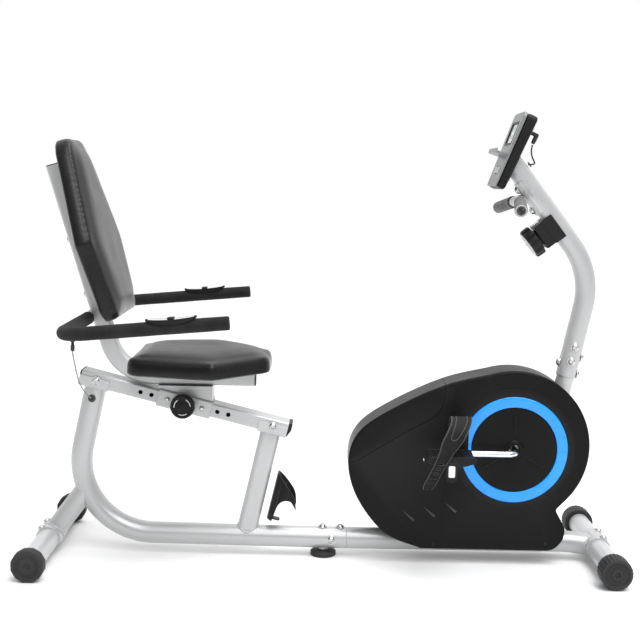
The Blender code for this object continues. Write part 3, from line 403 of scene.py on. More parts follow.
def shader_of(name, colour, roughness, metallic=0.0, **inputs):
    """A material with its shader's own values set. Underscores in an input's name are spaces."""
    made = bpy.data.materials.new(name)
    made.use_nodes = True
    shader = made.node_tree.nodes["Principled BSDF"]
    shader.inputs["Base Color"].default_value = (*colour, 1)
    shader.inputs["Roughness"].default_value = roughness
    shader.inputs["Metallic"].default_value = metallic
    for key, value in inputs.items():
        shader.inputs[key.replace("_", " ")].default_value = value
    return made, shader


def noise(made, scale, detail=3.0, roughness=0.5, stretch=(1, 1, 1)):
    """A noise value over the object's own space."""
    place = node(made, "ShaderNodeTexCoord")
    mapping = node(made, "ShaderNodeMapping")
    mapping.inputs["Scale"].default_value = stretch
    texture = node(made, "ShaderNodeTexNoise")
    texture.inputs["Scale"].default_value = scale
    texture.inputs["Detail"].default_value = detail
    texture.inputs["Roughness"].default_value = roughness
    link(made, place.outputs["Object"], mapping.inputs["Vector"])
    link(made, mapping.outputs["Vector"], texture.inputs["Vector"])
    return texture.outputs["Fac"]


def cells(made, scale, feature="F1"):
    """The distance to the nearest cell point, or to a cell's edge."""
    place = node(made, "ShaderNodeTexCoord")
    texture = node(made, "ShaderNodeTexVoronoi", feature=feature)
    texture.inputs["Scale"].default_value = scale
    link(made, place.outputs["Object"], texture.inputs["Vector"])
    return texture.outputs["Distance"]


def spread(made, value, low, high, from_low=0.3, from_high=0.7):
    """A value stretched to run from low to high."""
    ranged = node(made, "ShaderNodeMapRange")
    for name, number in (("From Min", from_low), ("From Max", from_high), ("To Min", low), ("To Max", high)):
        ranged.inputs[name].default_value = number
    link(made, value, ranged.inputs["Value"])
    return ranged.outputs["Result"]


def tint(made, value, first, second, low=0.35, high=0.65):
    """A colour that runs from first to second as the value goes from low to high."""
    ramp = node(made, "ShaderNodeValToRGB")
    ramp.color_ramp.elements[0].position = low
    ramp.color_ramp.elements[0].color = (*first, 1)
    ramp.color_ramp.elements[1].position = high
    ramp.color_ramp.elements[1].color = (*second, 1)
    link(made, value, ramp.inputs["Fac"])
    return ramp.outputs["Color"]


def emboss(made, shader, *layers):
    """Bump layers of (height, strength, distance), each on top of the one before."""
    below = None
    for height, strength, distance in layers:
        bump = node(made, "ShaderNodeBump")
        bump.inputs["Strength"].default_value = strength
        bump.inputs["Distance"].default_value = distance
        link(made, height, bump.inputs["Height"])
        if below:
            link(made, below, bump.inputs["Normal"])
        below = bump.outputs["Normal"]
    link(made, below, shader.inputs["Normal"])


def painted_edge_highlight(made, colour, edge_highlight, low=0.52, high=0.62):
    """The colour, lightened towards a given shade on the piece's convex edges: a painted highlight standing in for the
    sheen that edges catch.
    """
    geometry = node(made, "ShaderNodeNewGeometry")
    mask = spread(made, geometry.outputs["Pointiness"], 0.0, 1.0, low, high)
    mix = node(made, "ShaderNodeMix", data_type="RGBA")
    link(made, mask, mix.inputs["Factor"])
    link(made, colour, mix.inputs["A"])
    mix.inputs["B"].default_value = (*edge_highlight, 1)
    return mix.outputs["Result"]


def silver_paint():
    """Satin silver powder coat: fine flake, a little orange peel and faint handling marks."""
    made, shader = shader_of("silver_paint", (0.56, 0.57, 0.58), 0.34, 0.35, Coat_Weight=0.25, Coat_Roughness=0.2)
    flake = noise(made, 1400, 2)
    marks = noise(made, 9, 5, 0.6)
    colour = tint(made, flake, (0.44, 0.445, 0.45), (0.54, 0.545, 0.55), 0.3, 0.7)
    # The lighter convex edges are a painted highlight.
    link(made, painted_edge_highlight(made, colour, (0.60, 0.605, 0.61)), shader.inputs["Base Color"])
    link(made, spread(made, marks, 0.28, 0.44), shader.inputs["Roughness"])
    emboss(made, shader, (noise(made, 260, 2), 0.08, 0.001), (flake, 0.05, 0.0004))
    return made


def black_plastic(name, shade, roughness, grain_scale, grain_depth, edge_highlight, specular=0.4):
    """Moulded black plastic with a spark-eroded grain, faint cloudiness and a painted highlight on its edges."""
    made, shader = shader_of(name, (shade,) * 3, roughness, Specular_IOR_Level=specular)
    cloud = noise(made, 6, 4, 0.55)
    dark, light = shade * 0.8, shade * 1.3
    colour = tint(made, cloud, (dark, dark, dark), (light, light, light * 1.03))
    # The lighter edges are a painted highlight.
    link(made, painted_edge_highlight(made, colour, (edge_highlight,) * 3), shader.inputs["Base Color"])
    link(made, spread(made, cloud, roughness - 0.06, roughness + 0.07), shader.inputs["Roughness"])
    grain = cells(made, grain_scale)
    emboss(made, shader, (grain, 0.22, grain_depth), (noise(made, grain_scale * 2.1, 2), 0.12, grain_depth))
    return made


def leatherette():
    """Black leatherette: a pebbled grain with fine creases and a soft sheen."""
    made, shader = shader_of(
        "leatherette", (0.006, 0.006, 0.0063), 0.34, Specular_IOR_Level=0.28, Sheen_Weight=0.5, Sheen_Roughness=0.18
    )
    pebble = cells(made, 620)
    crease = cells(made, 260, "DISTANCE_TO_EDGE")
    cloud = noise(made, 14, 5, 0.6)
    colour = tint(made, pebble, (0.008, 0.008, 0.0083), (0.005, 0.005, 0.0052), 0.1, 0.6)
    link(made, colour, shader.inputs["Base Color"])
    link(made, spread(made, cloud, 0.28, 0.38), shader.inputs["Roughness"])
    folds = spread(made, crease, 0.0, 1.0, 0.0, 0.08)
    emboss(made, shader, (cloud, 0.05, 0.003), (folds, 0.12, 0.0005), (pebble, 0.25, 0.0004))
    return made


def foam(name="grip_foam", shade=0.013):
    """Closed-cell foam rubber: pitted, and dull all over."""
    made, shader = shader_of(name, (shade,) * 3, 0.82, Specular_IOR_Level=0.15, Sheen_Weight=0.05, Sheen_Roughness=0.6)
    pits = cells(made, 900)
    patches = noise(made, 30, 4, 0.6)
    light = shade * 1.5
    link(made, tint(made, patches, (shade * 0.8,) * 3, (light,) * 3), shader.inputs["Base Color"])
    link(made, spread(made, patches, 0.74, 0.92), shader.inputs["Roughness"])
    emboss(made, shader, (patches, 0.12, 0.003), (pits, 0.45, 0.0006))
    return made


def rubber(name="soft_rubber", shade=0.010):
    """Moulded soft rubber with a dusty bloom and a painted highlight on its edges."""
    made, shader = shader_of(name, (shade,) * 3, 0.6, Specular_IOR_Level=0.14)
    bloom = noise(made, 40, 5, 0.65)
    colour = tint(made, bloom, (shade * 0.8,) * 3, (shade * 1.5,) * 3)
    # The light edge colour is a painted highlight.
    link(made, painted_edge_highlight(made, colour, (shade * 9,) * 3, 0.515, 0.58), shader.inputs["Base Color"])
    link(made, spread(made, bloom, 0.5, 0.7), shader.inputs["Roughness"])
    emboss(made, shader, (noise(made, 900, 3), 0.2, 0.0004))
    return made


def blue_plastic():
    """Bright blue plastic with a glossy skin and a trace of flow marks."""
    made, shader = shader_of("blue_plastic", (0.01, 0.33, 1.0), 0.3, Coat_Weight=0.15, Coat_Roughness=0.1)
    flow = noise(made, 18, 3, 0.5, (1, 1, 3))
    link(made, tint(made, flow, (0.008, 0.30, 0.96), (0.014, 0.34, 1.0)), shader.inputs["Base Color"])
    link(made, spread(made, flow, 0.25, 0.36), shader.inputs["Roughness"])
    emboss(made, shader, (noise(made, 500, 2), 0.05, 0.0004))
    return made


def metal(name, shade, roughness, stretch=(1, 1, 1)):
    """Bare or plated metal with fine directional scratches."""
    made, shader = shader_of(name, (shade,) * 3, roughness, 1.0)
    lines = noise(made, 320, 3, 0.6, stretch)
    cloud = noise(made, 25, 4)
    link(made, tint(made, cloud, (shade * 0.93,) * 3, (min(1, shade * 1.05),) * 3), shader.inputs["Base Color"])
    link(made, spread(made, lines, roughness * 0.7, roughness * 1.5), shader.inputs["Roughness"])
    emboss(made, shader, (lines, 0.06, 0.0003))
    return made


def face_plastic():
    """Silver-sprayed plastic of the console's face."""
    made, shader = shader_of("face_plastic", (0.22, 0.225, 0.23), 0.38, 0.40)
    flake = noise(made, 1800, 2)
    link(made, tint(made, flake, (0.20, 0.205, 0.21), (0.25, 0.255, 0.26), 0.3, 0.7), shader.inputs["Base Color"])
    link(made, spread(made, noise(made, 12, 4), 0.32, 0.46), shader.inputs["Roughness"])
    emboss(made, shader, (flake, 0.06, 0.0003))
    return made


def screen_glass():
    """A pale liquid crystal window with its faint pixel grid under a clear front."""
    made, shader = shader_of("screen_glass", (0.50, 0.55, 0.52), 0.12, Coat_Weight=0.8, Coat_Roughness=0.03)
    grid = cells(made, 700)
    link(made, tint(made, grid, (0.52, 0.57, 0.54), (0.45, 0.50, 0.48), 0.2, 0.7), shader.inputs["Base Color"])
    link(made, spread(made, noise(made, 20, 3), 0.08, 0.2), shader.inputs["Roughness"])
    return made


def plain_plastic(name, colour, roughness=0.45):
    """Small light-coloured mouldings: buttons, reflectors and leads."""
    made, shader = shader_of(name, colour, roughness)
    cloud = noise(made, 60, 3)
    dull = tuple(value * 0.88 for value in colour)
    link(made, tint(made, cloud, dull, colour), shader.inputs["Base Color"])
    link(made, spread(made, cloud, roughness - 0.08, roughness + 0.08), shader.inputs["Roughness"])
    emboss(made, shader, (noise(made, 1200, 2), 0.08, 0.0003))
    return made


PAINT = silver_paint()
# The sixth value of each black plastic is the shade of its painted edge highlight.
HOUSING = black_plastic("housing_plastic", 0.0055, 0.36, 1500, 0.0002, 0.02, 0.13)
BLACK = black_plastic("black_plastic", 0.0075, 0.42, 1200, 0.0003, 0.035, 0.19)
CAP = black_plastic("cap_plastic", 0.026, 0.55, 900, 0.0004, 0.06, 0.2)
LEATHER = leatherette()
FOAM = foam()
GREY_FOAM = foam("grey_foam", 0.13)
RUBBER = rubber()
BLUE = blue_plastic()
CHROME = metal("chrome_plate", 0.86, 0.07, (0.2, 1, 1))
ZINC = metal("zinc_plate", 0.62, 0.28)
IRON = metal("turned_iron", 0.18, 0.45)
FACE = face_plastic()
SCREEN = screen_glass()
SEGMENT = plain_plastic("segment_grey", (0.28, 0.31, 0.30), 0.5)
BUTTON = plain_plastic("button_grey", (0.55, 0.56, 0.57))
WHITE = plain_plastic("white_mark", (0.85, 0.85, 0.85), 0.35)
LEAD = plain_plastic("lead_grey", (0.22, 0.225, 0.23), 0.4)


# ---- small repeated things ----
def bolt(place, way, radius=0.0095, washer=True):
    """A domed cap screw with a hexagon socket on a round washer, its underside at `place`."""
    rise = 0.55 * radius
    profile = [
        (radius, 0.0010), (radius, 0.0022), (0.93 * radius, 0.0016 + 0.45 * rise), (0.74 * radius, 0.0016 + 0.8 * rise),
        (0.55 * radius, 0.0016 + rise), (0.42 * radius, 0.0015 + rise, 6), (0.40 * radius, 0.0014 + 0.35 * rise, 6),
    ]
    shapes = [lathe(profile, 36)]
    if washer:
        rim = 1.28 * radius
        shapes.append(lathe([(rim - 0.0003, -0.0006), (rim, -0.0003), (rim, 0.0010), (rim - 0.0004, 0.0014)], 36))
    return [moved(shape, at(place, facing(way))) for shape in shapes]


def screw(place, way, radius=0.0045):
    """A small cross-head screw."""
    head = lathe([(radius, -0.001), (radius, 0.0006), (0.7 * radius, 0.0016), (0.3 * radius, 0.0019)], 24)
    shapes = [head]
    slot = 0.18 * radius
    for turn in (0, math.pi / 2):
        bar = block((-0.55 * radius, -slot, 0.0019), (0.55 * radius, slot, 0.0021))
        shapes.append(moved(bar, Matrix.Rotation(turn, 4, "Z")))
    return [moved(shape, at(place, facing(way))) for shape in shapes]


def weld(foot, way, radius, base, base_way, base_radius, bead=0.0024, far=False):
    """The rippled bead where a round bar meets another one."""
    way, base_way = Vector(way).normalized(), Vector(base_way).normalized()
    first = way.orthogonal().normalized()
    second = way.cross(first)
    steps = 120
    points = []
    for k in range(steps + 1):
        turn = 2 * math.pi * k / steps
        start = Vector(foot) + (first * math.cos(turn) + second * math.sin(turn)) * radius - Vector(base)
        flat_start = start - base_way * start.dot(base_way)
        flat_way = way - base_way * way.dot(base_way)
        a = flat_way.length_squared
        b = flat_start.dot(flat_way)
        c = flat_start.length_squared - base_radius**2
        root = math.sqrt(max(0.0, b * b - a * c))
        reach = (-b - root) / a if far else (-b + root) / a
        points.append(start + way * reach + Vector(base))
    return hose(points, bead, 10, lambda k: 1 + 0.16 * math.sin(k * 1.9) + 0.06 * math.sin(k * 0.7))


def ring_about(place, way, radius, thick, sides=48):
    """A plain round band, such as a grip's end ring."""
    turns = [2 * math.pi * k / sides for k in range(sides + 1)]
    points = [Vector((radius * math.cos(turn), radius * math.sin(turn), 0)) for turn in turns]
    return moved(hose(points, thick, 10), at(place, facing(way)))


# ---- rear frame ----
REAR_CORNER = (-0.607, 0, 0.0475)
UPRIGHT_TOP = (-0.5348, 0, 0.3935)
UPRIGHT_WAY = (Vector(UPRIGHT_TOP) - Vector(REAR_CORNER)).normalized()


def rail_saddle(distance, length):
    """A folded plate under the rail and up both its sides."""
    plate = 0.003
    inner_w = RAIL_WIDTH / 2 + 0.0003
    floor = -RAIL_HEIGHT / 2 - 0.0003
    top = 0.006
    outer = [((0, -inner_w - plate, top), 0), ((0, -inner_w - plate, floor - plate), 0.0045)]
    outer += [((0, inner_w + plate, floor - plate), 0.0045), ((0, inner_w + plate, top), 0)]
    inner = [((0, inner_w, top), 0), ((0, inner_w, floor), 0.0018)]
    inner += [((0, -inner_w, floor), 0.0018), ((0, -inner_w, top), 0)]
    section = rounded(outer + inner, closed=True, step=math.radians(15))
    rings = [[Vector((x, point.y, point.z)) for point in section] for x in (-length / 2, length / 2)]
    return moved(loft(rings), at(rail_at(distance), RAIL_TURN))


def floor_saddle(x, start, end):
    """A curved plate that wraps a floor tube between two angles, measured up from +X."""
    inner, outer, half_width = 0.0245, 0.0290, 0.040
    steps = 28
    turns = [math.radians(start + (end - start) * k / steps) for k in range(steps + 1)]
    rim = [(outer * math.cos(turn), outer * math.sin(turn)) for turn in turns]
    bore = [(inner * math.cos(turn), inner * math.sin(turn)) for turn in reversed(turns)]
    return prism([(x + a, FLOOR_TUBE_Z + b) for a, b in rim + bore], -half_width, half_width)


def rear_frame():
    start = (JOINT_X - 0.0003, 0, FRAME_Z)
    path = rounded([(start, 0), (REAR_CORNER, 0.170), (UPRIGHT_TOP, 0)], step=math.radians(3))
    tube = sweep(path, circle(FRAME_RADIUS))
    lip = [Vector((JOINT_X - 0.0012 - 0.0004 * k, 0, FRAME_Z)) for k in range(2)]
    nut = lathe([(0.011, 0.0150, 6), (0.011, 0.0205, 6)], 48)
    shapes = [
        tube, nut, rail_saddle(-0.213, 0.070), rod(FRAME_RADIUS + 0.0003, *lip),
        weld(UPRIGHT_TOP, UPRIGHT_WAY, FRAME_RADIUS, rail_at(-0.213) + Vector((0, 0, -0.0195)), ACROSS, 0.0005, 0.0018),
    ]
    piece("rear_frame", PAINT, shapes, stands_for=["rear_frame_tube"], edge=0.0007)

    axis = Vector((-FLOOR_TUBE_X, 0, FLOOR_TUBE_Z))
    top = Vector((-0.556, 0, 0.151))
    leg = [
        rod(0.0240, axis, top), floor_saddle(axis.x, -25, 168),
        weld(axis, top - axis, 0.0240, axis, ACROSS, 0.0292),
    ]
    piece("rear_leg_tube", PAINT, leg, stands_for=["rear_leg"], edge=0.0007)
    reach = ACROSS * (REAR_HALF_WIDTH - 0.005)
    piece("rear_floor_tube", PAINT, [rod(FRAME_RADIUS, axis - reach, axis + reach)], stands_for=["rear_stabiliser"])

    grommet = [
        moved(lathe([(0.0088, -0.001), (0.0092, 0.0012), (0.0080, 0.0026), (0.0030, 0.0030), (0.0020, 0.0010)], 32),
              at((-0.5398, -0.0248, 0.3675), outward(-1)))
    ]
    piece("lead_grommet", RUBBER, grommet)

    bolts = []
    for y in (-0.028, 0.028):
        way = Vector((math.cos(math.radians(128)), 0, math.sin(math.radians(128))))
        bolts += bolt(axis + way * 0.029 + ACROSS * y, way, 0.0080)
    for x in (-0.003, 0.039):
        bolts += bolt((x, 0, FRAME_Z + FRAME_RADIUS), UP, 0.0088)
    for side in (-1, 1):
        bolts += bolt((0.018, side * FRAME_RADIUS, FRAME_Z + 0.001), (0, side, 0), 0.0088)
        bolts += bolt(Vector((-0.529, side * 0.0333, 0.409)), (0, side, 0), 0.0090)
        bolts += bolt(Vector((-0.122, side * 0.0333, 0.311)), (0, side, 0), 0.0090)
    piece("frame_bolts", ZINC, bolts, edge=0.0)


def rear_caps():
    """Twelve-sided cups over the ends of the rear floor tube."""
    for side, hand in SIDES:
        depth = 0.027
        cup = [
            (FRAME_RADIUS + 0.0003, -depth), (0.0315, -depth, 12), (0.0345, -depth + 0.0012, 12),
            (CAP_RADIUS - 0.0002, -depth + 0.0035, 12), (CAP_RADIUS - 0.0002, -0.0042, 12), (0.0345, -0.0013, 12),
            (0.0320, -0.0002, 12), (0.0262, 0.0), (0.0250, -0.0012), (0.0190, -0.0014), (0.0180, -0.0004),
            (0.0080, -0.0006), (0.0060, -0.0022), (0.0015, -0.0026),
        ]
        place = at((-FLOOR_TUBE_X, side * REAR_HALF_WIDTH, FLOOR_TUBE_Z), outward(side))
        piece(f"rear_floor_cap_{hand}", CAP, [moved(lathe(cup, 96), place)], stands_for=[f"rear_cap_{hand}"], sharp=24)


def front_post():
    foot, top = Vector((-0.182, 0, 0.050)), Vector((-0.1277, 0, 0.2946))
    section = rounded_box(0.040, 0.047, 0.014)
    way = top - foot
    shapes = [
        sweep([foot, top], section), rail_saddle(0.211, 0.068),
        weld(foot, way, 0.0225, (0, 0, FRAME_Z + 0.002), (1, 0, -0.012), FRAME_RADIUS),
    ]
    piece("front_post_tube", PAINT, shapes, stands_for=["front_post"], edge=0.0007)


def seat_rail():
    reach = RAIL_LENGTH / 2
    place = at(rail_at(0), RAIL_TURN)
    along = [Vector((-reach, 0, 0)), Vector((reach, 0, 0))]
    outer = working(sweep(along, rounded_box(RAIL_WIDTH, RAIL_HEIGHT, 0.004)))
    longer = [Vector((-reach - 0.01, 0, 0)), Vector((reach + 0.01, 0, 0))]
    steps = [("DIFFERENCE", working(sweep(longer, rounded_box(RAIL_WIDTH - 0.004, RAIL_HEIGHT - 0.004, 0.002))))]
    for hole in range(-4, 5):
        x = hole * HOLE_PITCH
        steps.append(("DIFFERENCE", working(rod(0.0050, (x, -RAIL_WIDTH, 0), (x, 0, 0), 32))))
    piece("seat_rail_tube", PAINT, [moved(carved(outer, *steps), place)], stands_for=["seat_rail"], edge=0.0004)
    half = RAIL_HEIGHT / 2
    depth = 0.0085
    wedge = [(0.0003, -half), (0.0003, half), (depth - 0.0015, half), (depth, half - 0.0015), (depth, 0.0), (0.0020, -half)]
    for end, name, stands_for in ((1, "rail_end_front", ["rail_cap_front"]), (-1, "rail_end_rear", ())):
        plug = slab(RAIL_WIDTH - 0.005, RAIL_HEIGHT - 0.005, 0.002, -0.012, 0.002)
        turn = Matrix.Identity(4) if end > 0 else Matrix.Rotation(math.pi, 4, "Z")
        lid = prism(wedge, -RAIL_WIDTH / 2, RAIL_WIDTH / 2) if end > 0 else slab(RAIL_WIDTH, RAIL_HEIGHT, 0.004, 0.0003, 0.0036)
        cap = [moved(shape, place @ at((end * reach, 0, 0), turn)) for shape in (lid, plug)]
        piece(name, BLACK, cap, stands_for=stands_for, edge=0.0012)


def bottle_cage():
    """A curved plastic sheet: a tall spine against the post and two arms round the bottle."""
    place = at((-0.1340, 0, 0.0880), about_y(math.radians(12.7)))
    radius, wall, height = 0.037, 0.0025, 0.140
    steps = 60
    turns = [math.radians(48 + (312 - 48) * k / steps) for k in range(steps + 1)]
    sheet = [(radius * math.cos(turn), radius * math.sin(turn)) for turn in turns]
    sheet += [((radius - wall) * math.cos(turn), (radius - wall) * math.sin(turn)) for turn in reversed(turns)]
    rings = [[Vector((radius + x, y, z)) for x, y in sheet] for z in (0, height)]
    fin = smooth([Vector(spot) for spot in ((0.0620, 0.038), (0.0516, 0.067), (0.0297, 0.0893), (0.0020, 0.1130))], 12)
    arch = smooth([Vector(spot) for spot in ((0.0120, 0.0), (0.0200, 0.046), (0.0420, 0.058), (0.0620, 0.038))], 12)
    outline = [Vector((-0.01, 0.0)), *arch, *fin[1:], Vector((-0.01, 0.112))]
    sheet_shape = carved(working(loft(rings)), ("INTERSECT", working(prism(outline, -0.05, 0.05))))
    lip = moved(slab(0.022, 0.030, 0.006, 0.0, 0.003), Matrix.Translation((0.0155, 0, 0.0005)) @ about_y(-math.pi / 2))
    shapes = [moved(sheet_shape, place), moved(lip, place)]
    for z in (0.030, 0.080):
        shapes += [moved(shape, place) for shape in screw((0.0028, 0, z), (1, 0, 0), 0.004)]
    piece("bottle_holder", BLACK, shapes, stands_for=["bottle_cage"], edge=0.0006, sharp=30)


def levelling_foot():
    pad = fluted([
        (0.0280, 0.0, 0), (0.0295, 0.0010, 0), (0.0300, 0.0025, 0.0012), (0.0300, 0.0090, 0.0012), (0.0285, 0.0112, 0.0008),
        (0.0240, 0.0128, 0), (0.0100, 0.0142, 0),
    ], 24, 6)
    thread = lathe([(0.0050 + 0.0005 * (k % 2), 0.0140 + 0.0007 * k) for k in range(9)], 32)
    piece("levelling_pad", CAP, [pad], "foot", ["levelling_foot"])
    piece("levelling_stem", ZINC, [thread], "foot")


# ---- front frame ----
def front_frame():
    axle = Vector((FLOOR_TUBE_X, 0, FLOOR_TUBE_Z))
    bend = Vector((0.570, 0, FRAME_Z + 0.0017))
    path = rounded([((JOINT_X + 0.0003, 0, FRAME_Z), 0), (bend, 0.20), (axle, 0)], step=math.radians(1))
    shapes = [
        sweep(path, circle(FRAME_RADIUS)), floor_saddle(axle.x, 12, 205),
        rod(FRAME_RADIUS - 0.0015, (JOINT_X - 0.004, 0, FRAME_Z), (JOINT_X + 0.004, 0, FRAME_Z)),
        weld(axle, bend - axle, FRAME_RADIUS - 0.0003, axle, ACROSS, 0.0292),
    ]
    piece("front_frame", PAINT, shapes, stands_for=["front_frame_tube"], edge=0.0007)
    reach = ACROSS * (FRONT_HALF_WIDTH - 0.0065)
    piece("front_floor_tube", PAINT, [rod(FRAME_RADIUS, axle - reach, axle + reach)], stands_for=["front_stabiliser"])
    bolts = []
    for y in (-0.028, 0.028):
        way = Vector((math.cos(math.radians(62)), 0, math.sin(math.radians(62))))
        bolts += bolt(axle + way * 0.029 + ACROSS * y, way, 0.0080)
    piece("front_bolts", ZINC, bolts)


def front_wheels():
    """Transport wheels with a ribbed tread that also serve as the front feet."""
    depth = 0.047
    for side, hand in SIDES:
        outer = [
            (FRAME_RADIUS + 0.0006, -depth, 0), (0.0320, -depth, 0), (0.0345, -depth + 0.0015, 0.0004),
            (0.0357, -depth + 0.0040, 0.0013), (0.0359, -0.0250, 0.0014), (0.0357, -0.0055, 0.0013), (0.0345, -0.0020, 0.0004),
            (0.0325, -0.0003, 0), (0.0270, 0.0, 0), (0.0255, -0.0018, 0), (0.0130, -0.0022, 0), (0.0115, -0.0006, 0),
            (0.0075, -0.0006, 0), (0.0060, -0.0030, 0), (0.0010, -0.0034, 0),
        ]
        place = at(pivot(f"wheel_{hand}_spin") + ACROSS * side * 0.0235, outward(side))
        wheel = moved(fluted(outer, 26, 8), place)
        piece(f"transport_wheel_{hand}", CAP, [wheel], f"wheel_{hand}", [f"front_wheel_{hand}"], sharp=40)


def mast():
    top = MAST_BEND + mast_up() * 0.34
    path = rounded([(MAST_LOW, 0), (MAST_BEND, 0.175), (top, 0)], step=math.radians(2))
    tube = working(sweep(path, circle(MAST_RADIUS, 64)))
    half = CONSOLE_SIZE.x / 2 + 0.0003
    beyond = working(moved(block((-0.2, -0.1, -0.2), (half, 0.1, 0.2)), at(CONSOLE_CENTRE, CONSOLE_TURN)))
    bore = working(rod(POST_RADIUS + 0.0006, MAST_LOW - mast_way() * 0.01, MAST_LOW + mast_way() * 0.030))
    piece("mast_tube", PAINT, [carved(tube, ("DIFFERENCE", beyond), ("DIFFERENCE", bore))], stands_for=["mast"], edge=0.0007)
    stub = rod(POST_RADIUS, MAST_LOW - mast_way() * 0.385, MAST_LOW + mast_way() * 0.025)
    piece("mast_stub", PAINT, [stub], stands_for=["mast_post"])
    forward = ACROSS.cross(mast_way())
    shapes = []
    for distance in (0.0715, 0.0380):
        for side in (-1, 1):
            shapes += bolt(MAST_LOW + mast_way() * distance + ACROSS * side * MAST_RADIUS, (0, side, 0), 0.0086)
    for distance, way in ((0.0500, forward), (0.0105, forward), (0.0290, -forward)):
        shapes += bolt(MAST_LOW + mast_way() * distance + way * MAST_RADIUS, way, 0.0086)
    piece("mast_bolts", ZINC, shapes)


# ---- drive ----
def crank():
    arm, out = CRANK_LENGTH, 0.100
    corners = [((-arm, -out, 0), 0), ((0, -out, 0), 0.020), ((0, out, 0), 0.020), ((arm, out, 0), 0)]
    path = rounded(corners, step=math.radians(5))
    shapes = [sweep(path, circle(CRANK_RADIUS, 40), UP)]
    for side in (-1, 1):
        eye = [(0.0090, -0.0086), (0.0118, -0.0080), (0.0125, -0.0070), (0.0125, 0.0070), (0.0118, 0.0080), (0.0062, 0.0086)]
        shapes.append(moved(lathe(eye, 40), at((side * arm, side * out, 0), outward(side))))
        shapes.append(rod(0.0058, (side * arm, side * out, 0), (side * arm, side * (out + 0.098), 0), 32))
    piece("crank_bar", CHROME, [moved(shape, at(CRANK_AXIS)) for shape in shapes], "crank_set", ["crank"], edge=0.0005)


PEDAL_NEAR, PEDAL_FAR = 0.118, 0.204
PEDAL_TURNS = {"right": about_y(0), "left": about_y(math.radians(-60))}


def pedals():
    for side, hand in SIDES:
        place = at(CRANK_AXIS + Vector((side * CRANK_LENGTH, 0, 0)), PEDAL_TURNS[hand])
        body = f"pedal_{hand}_set"
        pedal_body(side, hand, place, body)
        pedal_strap(side, hand, place, body)


def upright(corners, step=8):
    """The (x, z) points of a closed outline of ((x, z), radius) corners."""
    points = rounded([((x, 0, z), radius) for (x, z), radius in corners], closed=True, step=math.radians(step))
    return [(point.x, point.z) for point in points]


def pedal_body(side, hand, place, body):
    """A thin board between two rounded side plates, with ribs across its tread."""
    reach, nose, top, edge, keel = 0.062, 0.0050, 0.0145, -0.0045, -0.0085
    outline = upright([
        ((-reach, nose), 0.006), ((-0.046, top), 0.02), ((0.046, top), 0.02), ((reach, nose), 0.006),
        ((0.034, edge), 0.02), ((0.014, keel), 0.01), ((-0.014, keel), 0.01), ((-0.034, edge), 0.02),
    ])
    board = [(0.97 * x, nose + 0.80 * (z - nose)) for x, z in outline]
    near, far = PEDAL_NEAR, PEDAL_FAR
    shapes = [prism(board, *sorted((side * (near + 0.004), side * (far - 0.004))))]
    for start, end in ((near, near + 0.009), (far - 0.009, far - 0.0005)):
        shapes.append(prism(outline, *sorted((side * start, side * end))))
    for rib in range(-3, 4):
        x = 0.0145 * rib
        low, high = sorted((side * (near + 0.012), side * (far - 0.012)))
        shapes.append(block((x - 0.0018, low, edge + 0.0008), (x + 0.0018, high, top - 0.0004)))
    shapes.append(rod(0.0100, (0, side * near, 0), (0, side * (far - 0.001), 0), 40))
    tab = upright([
        ((-0.0125, 0.002), 0), ((0.0125, 0.002), 0), ((0.0125, -0.041), 0.0115), ((-0.0125, -0.041), 0.0115),
    ])
    shapes.append(prism(tab, *sorted((side * (far - 0.008), side * (far + 0.0003)))))
    shapes = [moved(shape, place) for shape in shapes]
    piece(f"pedal_body_{hand}", BLACK, shapes, body, [f"pedal_{hand}"], edge=0.0010)
    label = upright([
        ((-0.007, -0.0045), 0.003), ((0.007, -0.0045), 0.003), ((0.007, -0.0300), 0.003), ((-0.007, -0.0300), 0.003),
    ])
    mark = prism(label, *sorted((side * far, side * (far + 0.0009))))
    reflector = slab(0.014, 0.0040, 0.0015, -0.0003, 0.0008)
    reflector = moved(reflector, at((-reach + 0.0014, side * 0.188, nose)))
    marks = [moved(shape, place) for shape in (mark, reflector)]
    piece(f"pedal_mark_{hand}", WHITE, marks, body, edge=0.0003)


def strap_path(near, far):
    """The band's line across the foot, as (0, distance out, height) points."""
    inside, outside = near - 0.0026, far + 0.0026
    corners = [
        ((0, inside, 0.0080), 0), ((0, inside, 0.073), 0.034), ((0, (inside + outside) / 2, 0.103), 0.045),
        ((0, outside, 0.073), 0.034), ((0, outside, -0.057), 0),
    ]
    fine = []
    coarse = rounded(corners, step=math.radians(5))
    for a, b in zip(coarse, coarse[1:]):
        pieces = max(1, round((b - a).length / 0.0025))
        fine += [a.lerp(b, k / pieces) for k in range(pieces)]
    return [*fine, coarse[-1]]


def strap_half_width(point):
    """The band is broad over the foot, has a waist beside the pedal and ends in a narrow tail."""
    broad, narrow, waist = 0.0228, 0.0130, 0.0150
    if point.y < PEDAL_FAR or point.z > 0.055:
        return broad
    if point.z > 0.012:
        share = (0.055 - point.z) / 0.043
        ease = share * share * (3 - 2 * share)
        return broad + (waist - broad) * ease
    share = min(1.0, (0.012 - point.z) / 0.02)
    return waist + (narrow - waist) * share


